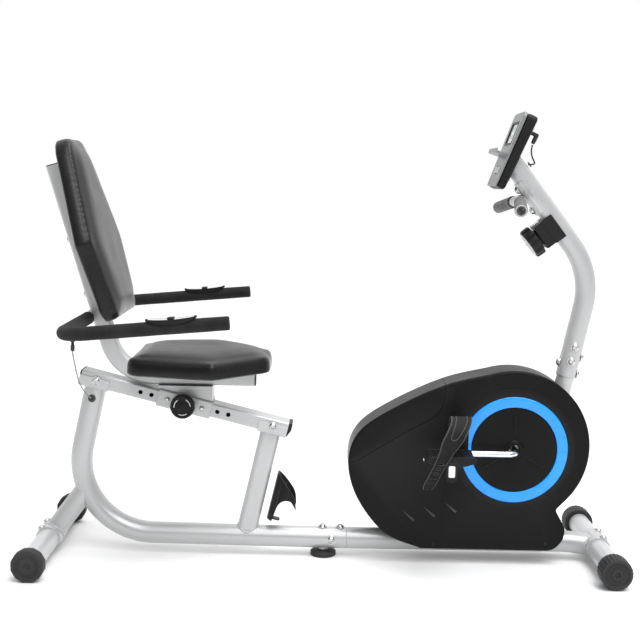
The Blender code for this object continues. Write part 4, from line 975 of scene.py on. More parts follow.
def pedal_strap(side, hand, place, body):
    """A moulded band with raised rims, an oval pad on top and slots along its tail."""
    thick = 0.0022
    lean, shift, upright_run = math.tan(math.radians(26)), -0.0245, 0.0225
    path = strap_path(PEDAL_NEAR, PEDAL_FAR)
    total = len(path) - 1
    across = [-1.0, -0.93, -0.86, -0.82, -0.4, 0.0, 0.4, 0.82, 0.86, 0.93, 1.0]

    def spot(point, out, reach, offset):
        lifted = point + out * offset
        share = min(1.0, max(0.0, (point.y - PEDAL_NEAR) / (PEDAL_FAR - PEDAL_NEAR)))
        along = upright_run * (1 - share) + (shift + lifted.z * lean) * share
        return Vector((reach + along, side * lifted.y, lifted.z))

    rings = []
    for index, point in enumerate(path):
        ahead = path[min(index + 1, total)] - path[max(index - 1, 0)]
        out = Vector((0, -ahead.z, ahead.y)).normalized()
        wide = strap_half_width(point) * min(1.0, 0.70 + (total - index) * 0.10)
        above = [spot(point, out, e * wide, thick / 2 + (0.0009 if 0.84 < abs(e) < 0.97 else 0)) for e in across]
        below = [spot(point, out, e * wide, -thick / 2) for e in reversed(across)]
        rings.append(above + below)
    slots = []
    for number in range(5):
        z = -0.0005 - 0.0105 * number
        hole = slab(0.0105, 0.0040, 0.0018, -0.01, 0.01)
        turn = Matrix.Rotation(math.pi / 2, 4, "Z")
        middle = (z * lean + shift, side * (PEDAL_FAR + 0.0026), z)
        slots.append(("DIFFERENCE", working(moved(hole, at(middle, turn)))))
    shapes = [carved(working(loft(rings)), *slots)]
    crest = [point for point in path if point.z > 0.050]
    last = len(crest) - 1
    pad_rings = []
    for index, point in enumerate(crest):
        along = 2 * index / last - 1
        wide = 0.0135 * max(0.0, 1 - along**2) ** 0.3 + 0.0002
        ahead = crest[min(index + 1, last)] - crest[max(index - 1, 0)]
        out = Vector((0, -ahead.z, ahead.y)).normalized()
        pad_rings.append([
            spot(point, out, edge * wide, height)
            for edge, height in (
                (-1, 0.0008), (-0.9, 0.0021), (-0.75, 0.0021), (-0.3, 0.0021), (0.3, 0.0021), (0.75, 0.0021), (0.9, 0.0021),
                (1, 0.0008),
            )
        ])
    shapes.append(loft(pad_rings))
    rim = [ring[1] for ring in pad_rings] + [ring[-2] for ring in reversed(pad_rings)]
    shapes.append(hose([*rim, rim[0]], 0.0009, 8))
    shapes = [moved(shape, place) for shape in shapes]
    piece(f"toe_strap_{hand}", RUBBER, shapes, body, [f"pedal_strap_{hand}"])


# ---- housing ----
SEAM = [
    (0.040, 0.234), (0.074, 0.240), (0.128, 0.273), (0.184, 0.307), (0.232, 0.334), (0.256, 0.352),
    (0.268, 0.378), (0.274, 0.440),
]
TAIL = [
    (0.225, 0.034), (0.141, 0.069), (0.076, 0.150), (0.053, 0.235), (0.076, 0.306), (0.152, 0.362),
    (0.274, 0.420),
]
TOE = [(0.534, 0.131), (0.558, 0.088), (0.553, 0.060), (0.536, 0.040), (0.520, 0.034)]


def housing_outline():
    """The drive housing seen from the side: a round front about the crank and a low rounded tail."""
    start, end, steps = math.radians(102), math.radians(-47), 48
    front = []
    for k in range(steps + 1):
        turn = start + (end - start) * k / steps
        front.append(HOUSING_CENTRE + HOUSING_RADIUS * Vector((math.cos(turn), math.sin(turn))))
    toe = [Vector(point) for point in TOE]
    tail = smooth([*(Vector(point) for point in TAIL), front[0]], 9)
    return [*tail[:-1], *front, toe[0], *smooth(toe[1:], 5)]


def cover_zone(shift=0.0):
    seam = smooth([Vector(point) for point in SEAM], 8)
    around = [(0.274, 0.500), (-0.05, 0.500), (-0.05, 0.234)]
    shape = prism([*[(point.x, point.y) for point in seam], *around], -0.2, 0.2)
    return working(moved(shape, Matrix.Translation((-shift, 0, shift))))


def low_tube_slot():
    return working(rod(FRAME_RADIUS + 0.0010, (-0.1, 0, FRAME_Z), (0.70, 0, FRAME_Z + 0.0018), 48))


def flute(side, x):
    """A raised wedge on the housing's side that grows as it runs down to the front."""
    sections = ((-0.0170, 0.0003, 0.0002), (0.0150, 0.0027, 0.0030), (0.0168, 0.0022, 0.0002))
    wedge = [
        [Vector((along, side * across, up)) for across, up in ((half, -0.0006), (-half, -0.0006), (-half, 0.0), (half, lift))]
        for along, half, lift in sections
    ]
    place = Vector((x, side * HOUSING_HALF_WIDTH, 0.112 + (x - 0.195) * 0.22))
    return moved(loft(wedge), at(place, about_y(math.radians(40)) @ outward(side)))


def housing():
    """Two shells and the rear top cover, with their grooves, screw wells and the step round each disc."""
    width = HOUSING_HALF_WIDTH
    outline = housing_outline()
    hollow_outline = inset(outline, HOUSING_WALL)
    screws = ((0.254, 0.045), (0.513, 0.051))
    for side, hand in SIDES:
        shell = working(prism(outline, -width, width), HOUSING_EDGE, 6)
        ends = sorted((side * 0.0003, side * 0.1))
        room = sorted((side * (width - HOUSING_WALL), -side * 0.02))
        hollow = working(prism(hollow_outline, *room), HOUSING_EDGE - HOUSING_WALL, 4)
        post = working(rod(POST_RADIUS + 0.0012, MAST_LOW - mast_way() * 0.36, MAST_LOW + mast_way() * 0.1, 48))
        hole = working(rod(0.0150, CRANK_AXIS, CRANK_AXIS + ACROSS * side * 0.2, 48))
        steps = [
            ("INTERSECT", working(block((0, ends[0], 0), (0.7, ends[1], 0.6)))), ("DIFFERENCE", hollow),
            ("DIFFERENCE", cover_zone()), ("DIFFERENCE", hole), ("DIFFERENCE", low_tube_slot()), ("DIFFERENCE", post),
        ]
        for x, z in screws:
            well = rod(0.0060, (x, side * (width - 0.0018), z), (x, side * (width + 0.01), z), 32)
            steps.append(("DIFFERENCE", working(well)))
        face = width - 0.0005
        step = [(0.1235, face), (0.1400, face), (0.1392, width + 0.0007), (0.1370, width + 0.0012), (0.1235, width + 0.0015)]
        shapes = [carved(shell, *steps), moved(lathe(step, 128, loop=True), at(CRANK_AXIS, outward(side)))]
        piece(f"drive_shell_{hand}", HOUSING, shapes, stands_for=[f"housing_{hand}"])
        # The flutes are the same black moulding as the shell; the lighter cap plastic on them is a painted highlight of
        # their lit faces.
        piece(f"shell_flutes_{hand}", CAP, [flute(side, x) for x in (0.195, 0.2425, 0.2915)])
        heads = []
        for x, z in screws:
            heads += screw((x, side * (width - 0.0016), z), (0, side, 0), 0.0046)
        piece(f"shell_screws_{hand}", BLACK, heads)
    cover = working(prism(outline, -width, width), HOUSING_EDGE, 6)
    room = (-width + HOUSING_WALL, width - HOUSING_WALL)
    inner = working(prism(hollow_outline, *room), HOUSING_EDGE - HOUSING_WALL, 4)
    made = carved(cover, ("INTERSECT", cover_zone(0.0009)), ("DIFFERENCE", inner))
    piece("rear_top_cover", HOUSING, [made], stands_for=["top_rear_cover"])


def disc_covers():
    """Each crank's round cover with three raised ribs, inside its blue ring."""
    face = HOUSING_HALF_WIDTH + 0.0003
    for side, hand in SIDES:
        profile = [
            (0.0125, face), (0.0975, face), (0.0975, face + 0.0012), (0.0960, face + 0.0022), (0.0500, face + 0.0034),
            (0.0260, face + 0.0030), (0.0225, face + 0.0034), (0.0205, face + 0.0060), (0.0190, face + 0.0066),
            (0.0130, face + 0.0062), (0.0118, face + 0.0050),
        ]
        turn = outward(side)
        shapes = [moved(lathe(profile, 96, loop=True), at(CRANK_AXIS, turn))]
        for spoke in range(3):
            rib = [
                [Vector((x, y, face + z)) for y, z in ((-half, 0.0), (half, 0.0), (half * 0.5, lift), (-half * 0.5, lift))]
                for x, half, lift in ((0.036, 0.0042, 0.0036), (0.040, 0.0046, 0.0052), (0.078, 0.0040, 0.0044), (0.084, 0.0036, 0.0026))
            ]
            spin = Matrix.Rotation(math.radians(90 + 120 * spoke), 4, "Z")
            shapes.append(moved(loft(rib), at(CRANK_AXIS, turn @ spin)))
        piece(f"crank_cover_{hand}", HOUSING, shapes, stands_for=[f"disc_cover_{hand}"], edge=0.0005)
        band = [
            (0.0985, face - 0.001), (0.1228, face - 0.001), (0.1228, face + 0.0020), (0.1222, face + 0.0032),
            (0.1206, face + 0.0041), (0.1110, face + 0.0043), (0.1004, face + 0.0037), (0.0990, face + 0.0028),
            (0.0985, face + 0.0015),
        ]
        ring = moved(lathe(band, 128, loop=True), at(CRANK_AXIS, turn))
        piece(f"blue_ring_{hand}", BLUE, [ring], stands_for=[f"accent_ring_{hand}"])


# ---- console and mast fittings ----
def face_x(z):
    """Where the console's front is, this far above its middle."""
    return -CONSOLE_SIZE.x / 2 - 0.008 + (CONSOLE_SIZE.z / 2 - z) * math.tan(FACE_LEAN)


def split_x(z):
    """Where the console's silver face ends and its black housing starts."""
    return -CONSOLE_SIZE.x / 2 + (CONSOLE_SIZE.z / 2 - z) * 0.0375


def tapered(width, height, radius, front, back):
    """A round-cornered plate whose front and back depths change with height."""
    section = rounded_box(width, height, radius)
    return loft([[Vector((depth(z), y, z)) for y, z in section] for depth in (front, back)])


def console():
    """Built about two frames: the housing's, and one that is flat on its silver face."""
    deep, wide, tall = CONSOLE_SIZE
    place = at(CONSOLE_CENTRE, CONSOLE_TURN)
    back = deep / 2
    shell = working(tapered(wide, tall, 0.013, split_x, lambda z: back), 0.0060, 5)
    rim = slab(wide - 0.034, tall - 0.038, 0.010, back - 0.001, back + 0.0016)
    ribs = [block((back, -0.036, z), (back + 0.0010, 0.036, z + 0.002)) for z in (0.046, 0.052, 0.058)]
    socket = slab(0.058, 0.060, 0.008, back, back + 0.006)
    shapes = [carved(shell), rim, moved(socket, at((0, 0, -0.030))), *ribs]
    piece("console_back", BLACK, [moved(shape, place) for shape in shapes], stands_for=["console_housing"], edge=0.0008)

    flat_on = at(CONSOLE_CENTRE + CONSOLE_TURN @ Vector((face_x(0), 0, 0)), FACE_TURN)
    from_housing = place.inverted() @ flat_on
    base = working(tapered(wide, tall, 0.013, face_x, lambda z: split_x(z) - 0.0003), 0.0022, 4)
    cutters = [
        moved(slab(0.086, 0.052, 0.003, -0.01, 0.0045), at((0, 0, 0.038))),
        moved(slab(0.070, 0.018, 0.003, -0.01, 0.0026), at((0, 0, -0.050))),
        block((-0.01, -0.061, -0.0165), (0.0012, 0.061, -0.0150)),
    ]
    steps = [("DIFFERENCE", working(moved(cutter, from_housing))) for cutter in cutters]
    ledge_corners = [
        ((0.0015, 0, -0.01194), 0), ((-0.0240, 0, -0.0130), 0.0008), ((-0.0246, 0, -0.0075), 0.0009),
        ((-0.0270, 0, -0.0075), 0.0009), ((-0.0262, 0, -0.0182), 0.0030), ((0.0015, 0, -0.0172), 0),
    ]
    ledge = [(point.x, point.z) for point in rounded(ledge_corners, closed=True, step=math.radians(15))]
    face = moved(carved(base, *steps), place)
    shapes = [face, moved(prism(ledge, -0.060, 0.060), flat_on)]
    piece("console_front", FACE, shapes, stands_for=["console_face"], edge=0.0004)

    bezel = carved(
        working(slab(0.0905, 0.0565, 0.0045, -0.0005, 0.0040)), ("DIFFERENCE", working(slab(0.0800, 0.0460, 0.003, -0.01, 0.01)))
    )
    piece("display_frame", BLACK, [moved(bezel, flat_on @ at((0, 0, 0.038)))], edge=0.0003)
    glass = moved(slab(0.0855, 0.0515, 0.003, 0.0020, 0.0044), at((0, 0, 0.038)))
    piece("display_window", SCREEN, [moved(glass, flat_on)], stands_for=["console_screen"], edge=0.0003)
    digits = []
    for row, height in ((0.049, 0.012), (0.030, 0.008)):
        for column in range(4):
            digits += seven_segment(-0.029 + 0.0195 * column, row, height, 0.00185)
    piece("display_segments", SEGMENT, [moved(shape, flat_on) for shape in digits])
    well = moved(slab(0.0696, 0.0176, 0.003, 0.0022, 0.0027), at((0, 0, -0.050)))
    piece("button_well", BLACK, [moved(well, flat_on)])
    for middle, name, node_name in ((-0.0172, "mode", "mode_button"), (0.0172, "reset", "reset_button")):
        cap = moved(slab(0.0325, 0.0160, 0.003, -0.0014, 0.0008), at((0, middle, -0.050)))
        piece(f"{name}_key", BUTTON, [moved(cap, flat_on)], name, [node_name], edge=0.0007)
    corners = []
    for y in (-0.050, 0.050):
        for z in (-0.062, 0.062):
            corners += [moved(shape, place) for shape in screw((back + 0.0016, y, z), (1, 0, 0), 0.0035)]
    piece("console_screws", ZINC, corners)


def seven_segment(y, z, height, x):
    """A blank digit of a liquid crystal display: all seven bars."""
    wide, bar = height * 0.52, height * 0.09
    half = height / 2
    bars = [(0, half, wide, bar), (0, 0, wide, bar), (0, -half, wide, bar)]
    for across in (-wide / 2 - bar, wide / 2 + bar):
        bars += [(across, half / 2, bar, half * 0.8), (across, -half / 2, bar, half * 0.8)]
    shapes = []
    for across, up, broad, tall in bars:
        low = (x, y + across - broad / 2, z + up - tall / 2)
        high = (x + 0.0003, y + across + broad / 2, z + up + tall / 2)
        shapes.append(block(low, high))
    return shapes


JUMPER_ROUTE = [
    (0.4556, 0, 0.9655), (0.4545, 0, 0.9600), (0.4538, 0, 0.9530), (0.4545, 0, 0.9440), (0.4572, 0, 0.9355),
    (0.4608, 0, 0.9280), (0.4618, 0, 0.9238), (0.4580, 0, 0.9215), (0.4520, 0, 0.9210), (0.4475, 0, 0.9210),
]
PULSE_ROUTE = [
    (-0.5470, -0.2000, 0.5020), (-0.5466, -0.1985, 0.4930), (-0.5450, -0.1900, 0.4740),
    (-0.5448, -0.1720, 0.4520), (-0.5465, -0.1420, 0.4290), (-0.5468, -0.1080, 0.4080),
    (-0.5445, -0.0780, 0.3905), (-0.5415, -0.0500, 0.3755), (-0.5398, -0.0285, 0.3680),
]


def length_of(points):
    return sum((b - a).length for a, b in zip(points, points[1:]))


def jumper():
    """The lead from the console's back to the mast, with its angled plug."""
    place = at(CONSOLE_CENTRE, CONSOLE_TURN)
    back = CONSOLE_SIZE.x / 2 + 0.0003
    stem = slab(0.0100, 0.0085, 0.0020, back, back + 0.0245)
    arm = [(0.0036, 0.0370), (0.0044, 0.0385), (0.0050, 0.0450), (0.0050, 0.0600)]
    plug = [moved(stem, at((0, 0, 0.05775))), moved(lathe(arm, 24), at((back + 0.0215, 0, 0)))]
    made = piece("jumper_boot", RUBBER, [moved(shape, place) for shape in plug], stands_for=["jumper_plug"], edge=0.0008)
    route = smooth([Vector(point) for point in JUMPER_ROUTE], 8)
    lead = piece("jumper_wire", RUBBER, [hose(route, 0.0017, 16)], stands_for=["jumper_lead"])
    clip = [
        moved(lathe([(0.0065, 0.0), (0.0068, 0.0010), (0.0050, 0.0026), (0.0024, 0.0028), (0.0019, 0.0010)], 32),
              at((0.4500, 0, 0.9205), facing((mast_up().z, 0, -mast_up().x))))
    ]
    piece("mast_grommet", RUBBER, clip)


def pulse_lead():
    """The thin lead from the right grip to the rear frame."""
    top = Vector(PULSE_ROUTE[0])
    boot = [
        lathe([
            (0.0028, 0.0003), (0.0040, 0.0015), (0.0044, 0.0040), (0.0044, 0.0130), (0.0030, 0.0145), (0.0030, 0.0195),
            (0.0046, 0.0205), (0.0050, 0.0220), (0.0050, 0.0335), (0.0040, 0.0362), (0.0028, 0.0372),
        ], 28),
    ]
    plug = piece("pulse_boot", RUBBER, [moved(shape, at(top)) for shape in boot], "seat", ["pulse_plug"])
    route = smooth([Vector(point) for point in PULSE_ROUTE], 8)
    lead = piece("pulse_wire", LEAD, [hose(route, 0.0014, 16)], body=None, stands_for=["pulse_lead"])
    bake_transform(lead)


def tension():
    """The resistance knob and the two-part block that clamps it to the mast."""
    origin = MAST_BEND + mast_up() * 0.138
    place = at(origin, MAST_TURN)
    along = [Vector((0, 0, -0.1)), Vector((0, 0, 0.1))]
    bore = sweep(along, circle(MAST_RADIUS + 0.0004))
    box = working(block((-0.0285, -0.0285, -0.0305), (-0.001, 0.0285, 0.0305)), 0.0015, 3)
    core = block((-0.0505, -0.0270, -0.0290), (-0.0280, 0.0270, 0.0290))
    body = carved(box, ("DIFFERENCE", working(bore)))
    collar = lathe([(0.020, 0.0), (0.020, 0.0045), (0.016, 0.0052)], 48)
    outwards = MAST_TURN @ Matrix.Rotation(-math.pi / 2, 4, "Y")
    knob_at = origin + MAST_TURN @ Vector((-0.0505, 0, 0))
    shapes = [moved(body, place), moved(core, place), moved(collar, at(knob_at, outwards))]
    piece("tension_block", BLACK, shapes, stands_for=["tension_housing"], edge=0.0008)
    tab = block((-0.0490, -0.004, 0.0285), (-0.0290, 0.016, 0.0315))
    piece("tension_tab", ZINC, [moved(tab, place)], edge=0.0008)
    grip = fluted([
        (0.0300, 0.0056, 0), (0.0345, 0.0062, 0.0010), (0.0358, 0.0080, 0.0026), (0.0358, 0.0180, 0.0030), (0.0352, 0.0262, 0.0024),
        (0.0330, 0.0286, 0.0010), (0.0305, 0.0292, 0),
    ], 12, 10)
    piece("tension_dial", BLACK, [moved(grip, at(knob_at, outwards))], "tension", ["tension_knob"], sharp=50)
    dome = lathe([(0.0290, 0.0286), (0.0288, 0.0296), (0.0270, 0.0302), (0.0180, 0.0306), (0.0060, 0.0308), (0.0005, 0.0308)], 64)
    pointer = block((-0.0012, 0.012, 0.0300), (0.0012, 0.026, 0.0309))
    piece("dial_face", BUTTON, [moved(dome, at(knob_at, outwards))], "tension")
    piece("dial_pointer", BLACK, [moved(pointer, at(knob_at, outwards))], "tension", edge=0.0003)


def front_handlebar():
    """The short bar below the console, welded to a round-ended plate on the mast."""
    origin = MAST_BEND + mast_up() * 0.225
    place = at(origin, MAST_TURN)
    pipe = [(MAST_RADIUS + 0.0003, -0.05), (MAST_RADIUS + 0.0036, -0.05), (MAST_RADIUS + 0.0036, 0.05), (MAST_RADIUS + 0.0003, 0.05)]
    profile = upright([((-0.04, -0.043), 0), ((-0.04, 0.043), 0), ((-0.005, 0.043), 0.009), ((-0.005, -0.043), 0.009)])
    plate = carved(working(lathe(pipe, 72, loop=True)), ("INTERSECT", working(prism(profile, -0.05, 0.05))))
    shapes = [moved(plate, place)]
    middle = FRONT_BAR_MIDDLE
    neck_start = origin + MAST_TURN @ Vector((-MAST_RADIUS, 0, 0))
    shapes.append(rod(HANDLE_RADIUS, neck_start, middle + (middle - neck_start).normalized() * 0.002, 40))
    ends = [FRONT_BAR_END * Vector((1, side, 1)) for side in (-1, 1)]
    path = rounded([(ends[0], 0), (middle, 0.06), (ends[1], 0)], step=math.radians(2))
    flat_normal = (ends[0] - middle).cross(ends[1] - middle).normalized()
    shapes.append(sweep(path, circle(HANDLE_RADIUS, 44), flat_normal))
    piece("front_bar", PAINT, shapes, stands_for=["front_handlebar"], edge=0.0005)
    for (side, hand), tip in zip(SIDES, ends):
        way = (tip - middle).normalized()
        start = tip - way * 0.118
        thick = HANDLE_RADIUS + 0.003
        profile = [
            (HANDLE_RADIUS, 0.0), (thick - 0.0006, 0.0), (thick, 0.0008), (thick, 0.117), (thick - 0.0004, 0.1190),
            (thick - 0.0022, 0.1208), (0.0090, 0.1211), (0.0082, 0.1192), (0.0005, 0.1190),
        ]
        shape = moved(lathe(profile, 48), at(start, facing(way)))
        piece(f"front_foam_{hand}", GREY_FOAM, [shape], stands_for=[f"front_grip_{hand}"])
        plug = [(0.0086, 0.1190), (0.0086, 0.1214), (0.0078, 0.1220), (0.0005, 0.1222)]
        piece(f"front_plug_{hand}", RUBBER, [moved(lathe(plug, 40), at(start, facing(way)))])
        piece(f"front_lip_{hand}", BUTTON, [ring_about(start + way * 0.1209, way, HANDLE_RADIUS + 0.0007, 0.0009)])
        piece(f"front_foam_ring_{hand}", RUBBER, [ring_about(start, way, HANDLE_RADIUS + 0.0010, 0.0017)])
    spots = [bolt(origin + MAST_TURN @ Vector((-MAST_RADIUS - 0.0038, 0, z)), MAST_TURN @ Vector((-1, 0, 0)), 0.0080) for z in (-0.029, 0.029)]
    piece("front_bar_bolts", ZINC, [shape for spot in spots for shape in spot])


# ---- seat ----
def seat_slider():
    """A sleeve around the rail, with the wedge that levels the seat and its two guide screws."""
    place = at(RAIL_PIN, RAIL_TURN)
    half = 0.063
    along = [Vector((-half, 0, 0)), Vector((half, 0, 0))]
    longer = [point * 1.4 for point in along]
    sleeve = carved(
        working(sweep(along, rounded_box(0.071, 0.0416, 0.0045))),
        ("DIFFERENCE", working(sweep(longer, rounded_box(RAIL_WIDTH + 0.0010, RAIL_HEIGHT + 0.0010, 0.0035)))),
    )
    wedge = prism([(-0.388, 0.3960), (-0.388, 0.4013), (-0.262, 0.4013), (-0.262, 0.352), (-0.300, 0.361)], -0.030, 0.030)
    piece("slider_sleeve", PAINT, [moved(sleeve, place), wedge], "seat", ["seat_slider"], edge=0.0007)
    heads = []
    for side in (-1, 1):
        for x, z in ((-0.365, 0.3695), (-0.285, 0.3500)):
            heads += bolt((x, side * 0.0355, z), (0, side, 0), 0.0058, washer=False)
    piece("slider_screws", ZINC, heads, "seat")


def release_knob():
    """The pull knob whose pin drops into the rail's holes."""
    place = at(RAIL_PIN - ACROSS * 0.0358, RAIL_TURN @ outward(-1))
    grip = fluted([
        (0.0150, 0.0195, 0), (0.0255, 0.0205, 0), (0.0276, 0.0225, 0.0009), (0.0282, 0.0260, 0.0013), (0.0282, 0.0350, 0.0013),
        (0.0274, 0.0385, 0.0008), (0.0255, 0.0402, 0), (0.0238, 0.0406, 0), (0.0230, 0.0398, 0), (0.0130, 0.0396, 0), (0.0122, 0.0404, 0), (0.0010, 0.0410, 0),
    ], 30, 6)
    stem = lathe([(0.0110, 0.0), (0.0110, 0.0040), (0.0092, 0.0055), (0.0092, 0.0200)], 40)
    collar = lathe([(0.0135, -0.0002), (0.0135, 0.0035), (0.0125, 0.0042)], 6)
    shapes = [moved(shape, place) for shape in (grip, stem)]
    piece("release_grip", BLACK, shapes, "release", ["release_knob"], sharp=45)
    piece("release_nut", ZINC, [moved(collar, place)], "seat", edge=0.0004)
    marks = []
    for third in range(3):
        arc = []
        for k in range(13):
            turn = math.radians(120 * third + 18 + 60 * k / 12)
            arc.append(Vector((0.0185 * math.cos(turn), 0.0185 * math.sin(turn), 0.0396)))
        marks.append(moved(hose(arc, 0.0009, 8), place))
    piece("release_marks", WHITE, marks, "release")


def seat_tube():
    front = Vector((-0.166, 0, SEAT_TUBE_Z))
    top = SEAT_CORNER + seat_up() * ((0.900 - SEAT_TUBE_Z) / math.cos(SEAT_LEAN))
    path = rounded([(front, 0), (SEAT_CORNER, 0.108), (top, 0)], step=math.radians(3))
    shapes = [sweep(path, rounded_box(SEAT_TUBE, SEAT_TUBE, 0.006))]
    plate_top = SEAT_BOTTOM - 0.0003
    for x in (-0.380, -0.235):
        shapes.append(block((x - 0.015, -0.085, plate_top - PLATE), (x + 0.015, 0.085, plate_top)))
    for height in (0.20, 0.33):
        plate = block((SEAT_TUBE / 2 - 0.001, -0.075, -0.015), (SEAT_TUBE / 2 + PLATE, 0.075, 0.015))
        shapes.append(moved(plate, at(SEAT_CORNER + seat_up() * height, BACK_TURN)))
    piece("seat_post", PAINT, shapes, "seat", ["seat_tube"], edge=0.0008)
    ends = [moved(slab(SEAT_TUBE, SEAT_TUBE, 0.006, 0.0002, 0.0028), at(front))]
    up_turn = about_y(-SEAT_LEAN - math.pi / 2)
    ends.append(moved(slab(SEAT_TUBE, SEAT_TUBE, 0.006, 0.0002, 0.0022), at(top, up_turn)))
    piece("seat_post_plugs", BLACK, ends, "seat", edge=0.0010)
    bolts = []
    for height in (0.20, 0.33):
        spot = SEAT_CORNER + seat_up() * height + BACK_TURN @ Vector((-SEAT_TUBE / 2, 0, 0))
        bolts += bolt(spot, BACK_TURN @ Vector((-1, 0, 0)), 0.0078)
    for x in (-0.380, -0.235):
        for y in (-0.070, 0.070):
            bolts += bolt((x, y, plate_top - PLATE), (0, 0, -1), 0.0070)
    for x in (-0.350, -0.295):
        bolts += bolt((x, 0, SEAT_TUBE_Z + SEAT_TUBE / 2), UP, 0.0070)
    piece("seat_bolts", ZINC, bolts, "seat")


def offset_outline(outline, distance):
    """A closed XY outline moved inwards by a distance."""
    middle = sum(outline, Vector()) / len(outline)
    shifted = []
    for index, point in enumerate(outline):
        before = (point - outline[index - 1]).normalized()
        after = (outline[(index + 1) % len(outline)] - point).normalized()
        way = (before + after).normalized()
        inwards = Vector((-way.y, way.x, 0))
        if inwards.dot(middle - point) < 0:
            inwards.negate()
        shifted.append(point + inwards * distance)
    return shifted


def even(outline, gap):
    """A closed line with its points spread a gap apart."""
    points = [*outline, outline[0]]
    total = length_of(points)
    count = max(8, round(total / gap))
    spots, travelled, index = [], 0.0, 0
    for k in range(count):
        target = total * k / count
        while travelled + (points[index + 1] - points[index]).length < target:
            travelled += (points[index + 1] - points[index]).length
            index += 1
        step = (points[index + 1] - points[index]).length
        spots.append(points[index].lerp(points[index + 1], (target - travelled) / step))
    return spots


FOLD_SHARE = 0.10  # how much of the simulated cover's fine folding is kept


def evened(mesh, shifts, rounds):
    """One vector for each vertex, averaged with its neighbours this many times."""
    around = [[] for _ in shifts]
    for edge in mesh.edges:
        first, second = edge.vertices
        around[first].append(second)
        around[second].append(first)
    for _ in range(rounds):
        shifts = [
            (shift + sum((shifts[k] for k in near), Vector())) / (1 + len(near)) for shift, near in zip(shifts, around)
        ]
    return shifts


def stuffed(shape, pressure, cap, top):
    """The shape remeshed and blown up as cloth, its flat back held still and no point moved over `cap`.

    Above `top` its crown is evened out.
    """
    made = working(shape)
    remesh = made.modifiers.new("even", "REMESH")
    remesh.mode = "VOXEL"
    remesh.voxel_size = 0.005
    graph = bpy.context.evaluated_depsgraph_get()
    mesh = bpy.data.meshes.new_from_object(made.evaluated_get(graph))
    made.modifiers.clear()
    made.data = mesh
    start = [vertex.co.copy() for vertex in mesh.vertices]
    group = made.vertex_groups.new(name="flat")
    group.add([k for k, point in enumerate(start) if point.z < 0.004], 1.0, "REPLACE")
    cloth = made.modifiers.new("foam", "CLOTH")
    cloth.settings.vertex_group_mass = "flat"
    cloth.settings.quality = 6
    cloth.settings.mass = 0.3
    cloth.settings.tension_stiffness = 18
    cloth.settings.compression_stiffness = 18
    cloth.settings.bending_stiffness = 1.5
    cloth.settings.use_pressure = True
    cloth.settings.uniform_pressure_force = pressure
    cloth.settings.effector_weights.gravity = 0
    scene = bpy.context.scene
    for step in range(1, 21):
        scene.frame_set(step)
    graph = bpy.context.evaluated_depsgraph_get()
    blown = made.evaluated_get(graph).data
    shifts = [vertex.co - first for vertex, first in zip(blown.vertices, start)]
    made.modifiers.clear()
    scene.frame_set(1)
    shifts = [shift if shift.length < cap else shift.normalized() * cap for shift in shifts]
    broad = evened(mesh, shifts, 14)
    for vertex, first, fine, wide in zip(mesh.vertices, start, shifts, broad):
        vertex.co = first + wide.lerp(fine, FOLD_SHARE)
    crown = evened(mesh, [vertex.co.copy() for vertex in mesh.vertices], 40)
    for vertex, level in zip(mesh.vertices, crown):
        share = min(1.0, max(0.0, (vertex.co.z - top) / 0.006))
        vertex.co = vertex.co.lerp(level, share)
    modifier = made.modifiers.new("fine", "SUBSURF")
    modifier.levels = modifier.render_levels = 1
    return carved(made)


def cushion(name, node_name, corners, edge, crown, place):
    """A padded board with a flat back: stuffed by simulation, then seamed, puckered along the seam and piped."""
    outline = rounded([((x, y, 0), radius) for x, y, radius in corners], closed=True, step=math.radians(8))
    outline = even(outline, 0.006)
    rings = []
    for drawn_in, height in (
        (0.0095, 0.0), (0.0030, 0.0022), (0.0015, 0.0060), (0.0015, 0.65 * edge), (0.0022, 0.82 * edge), (0.0048, 0.94 * edge),
        (0.0095, edge), (0.0170, edge + 0.25 * crown), (0.0320, edge + 0.55 * crown), (0.0520, edge + 0.80 * crown),
    ):
        rings.append([point + UP * height for point in offset_outline(outline, drawn_in)])
    shape = stuffed(loft(rings), 2.0, 0.0035, edge)

    seam = [point + UP * 0.86 * edge for point in even(offset_outline(outline, 0.001), 0.004)]
    tree = BVHTree.FromBMesh(shape)
    seam = [hit - normal * 0.0011 for hit, normal, _, _ in (tree.find_nearest(point) for point in seam)]
    line = BVHTree.FromPolygons(
        [point + lift for point in seam for lift in (Vector(), UP * 0.0001)],
        [(2 * k, 2 * k + 1, (2 * k + 2) % (2 * len(seam))) for k in range(len(seam))],
    )
    shape.normal_update()
    for vertex in shape.verts:
        if vertex.co.z < 0.004:
            continue
        nearest, _, index, distance = line.find_nearest(vertex.co)
        groove = 0.0007 * math.exp(-((distance / 0.0060) ** 2))
        pucker = 0.00025 * math.sin(index * 1.9 + 2.0 * math.sin(index * 0.23)) * math.exp(-distance / 0.012)
        vertex.co -= vertex.normal * (groove + pucker * min(1.0, distance / 0.004))
    made = piece(name, LEATHER, [moved(shape, place)], "seat", [node_name], sharp=80, flat=False)
    ring = [*seam, seam[0]]
    piece(f"{name}_piping", LEATHER, [moved(hose(ring, 0.0009, 10), place)], "seat")
    board_shape = loft([
        [point + UP * height for point in offset_outline(outline, drawn_in)] for drawn_in, height in ((0.016, -0.0012), (0.014, 0.0008))
    ])
    piece(f"{name}_board", RUBBER, [moved(board_shape, place)], "seat")


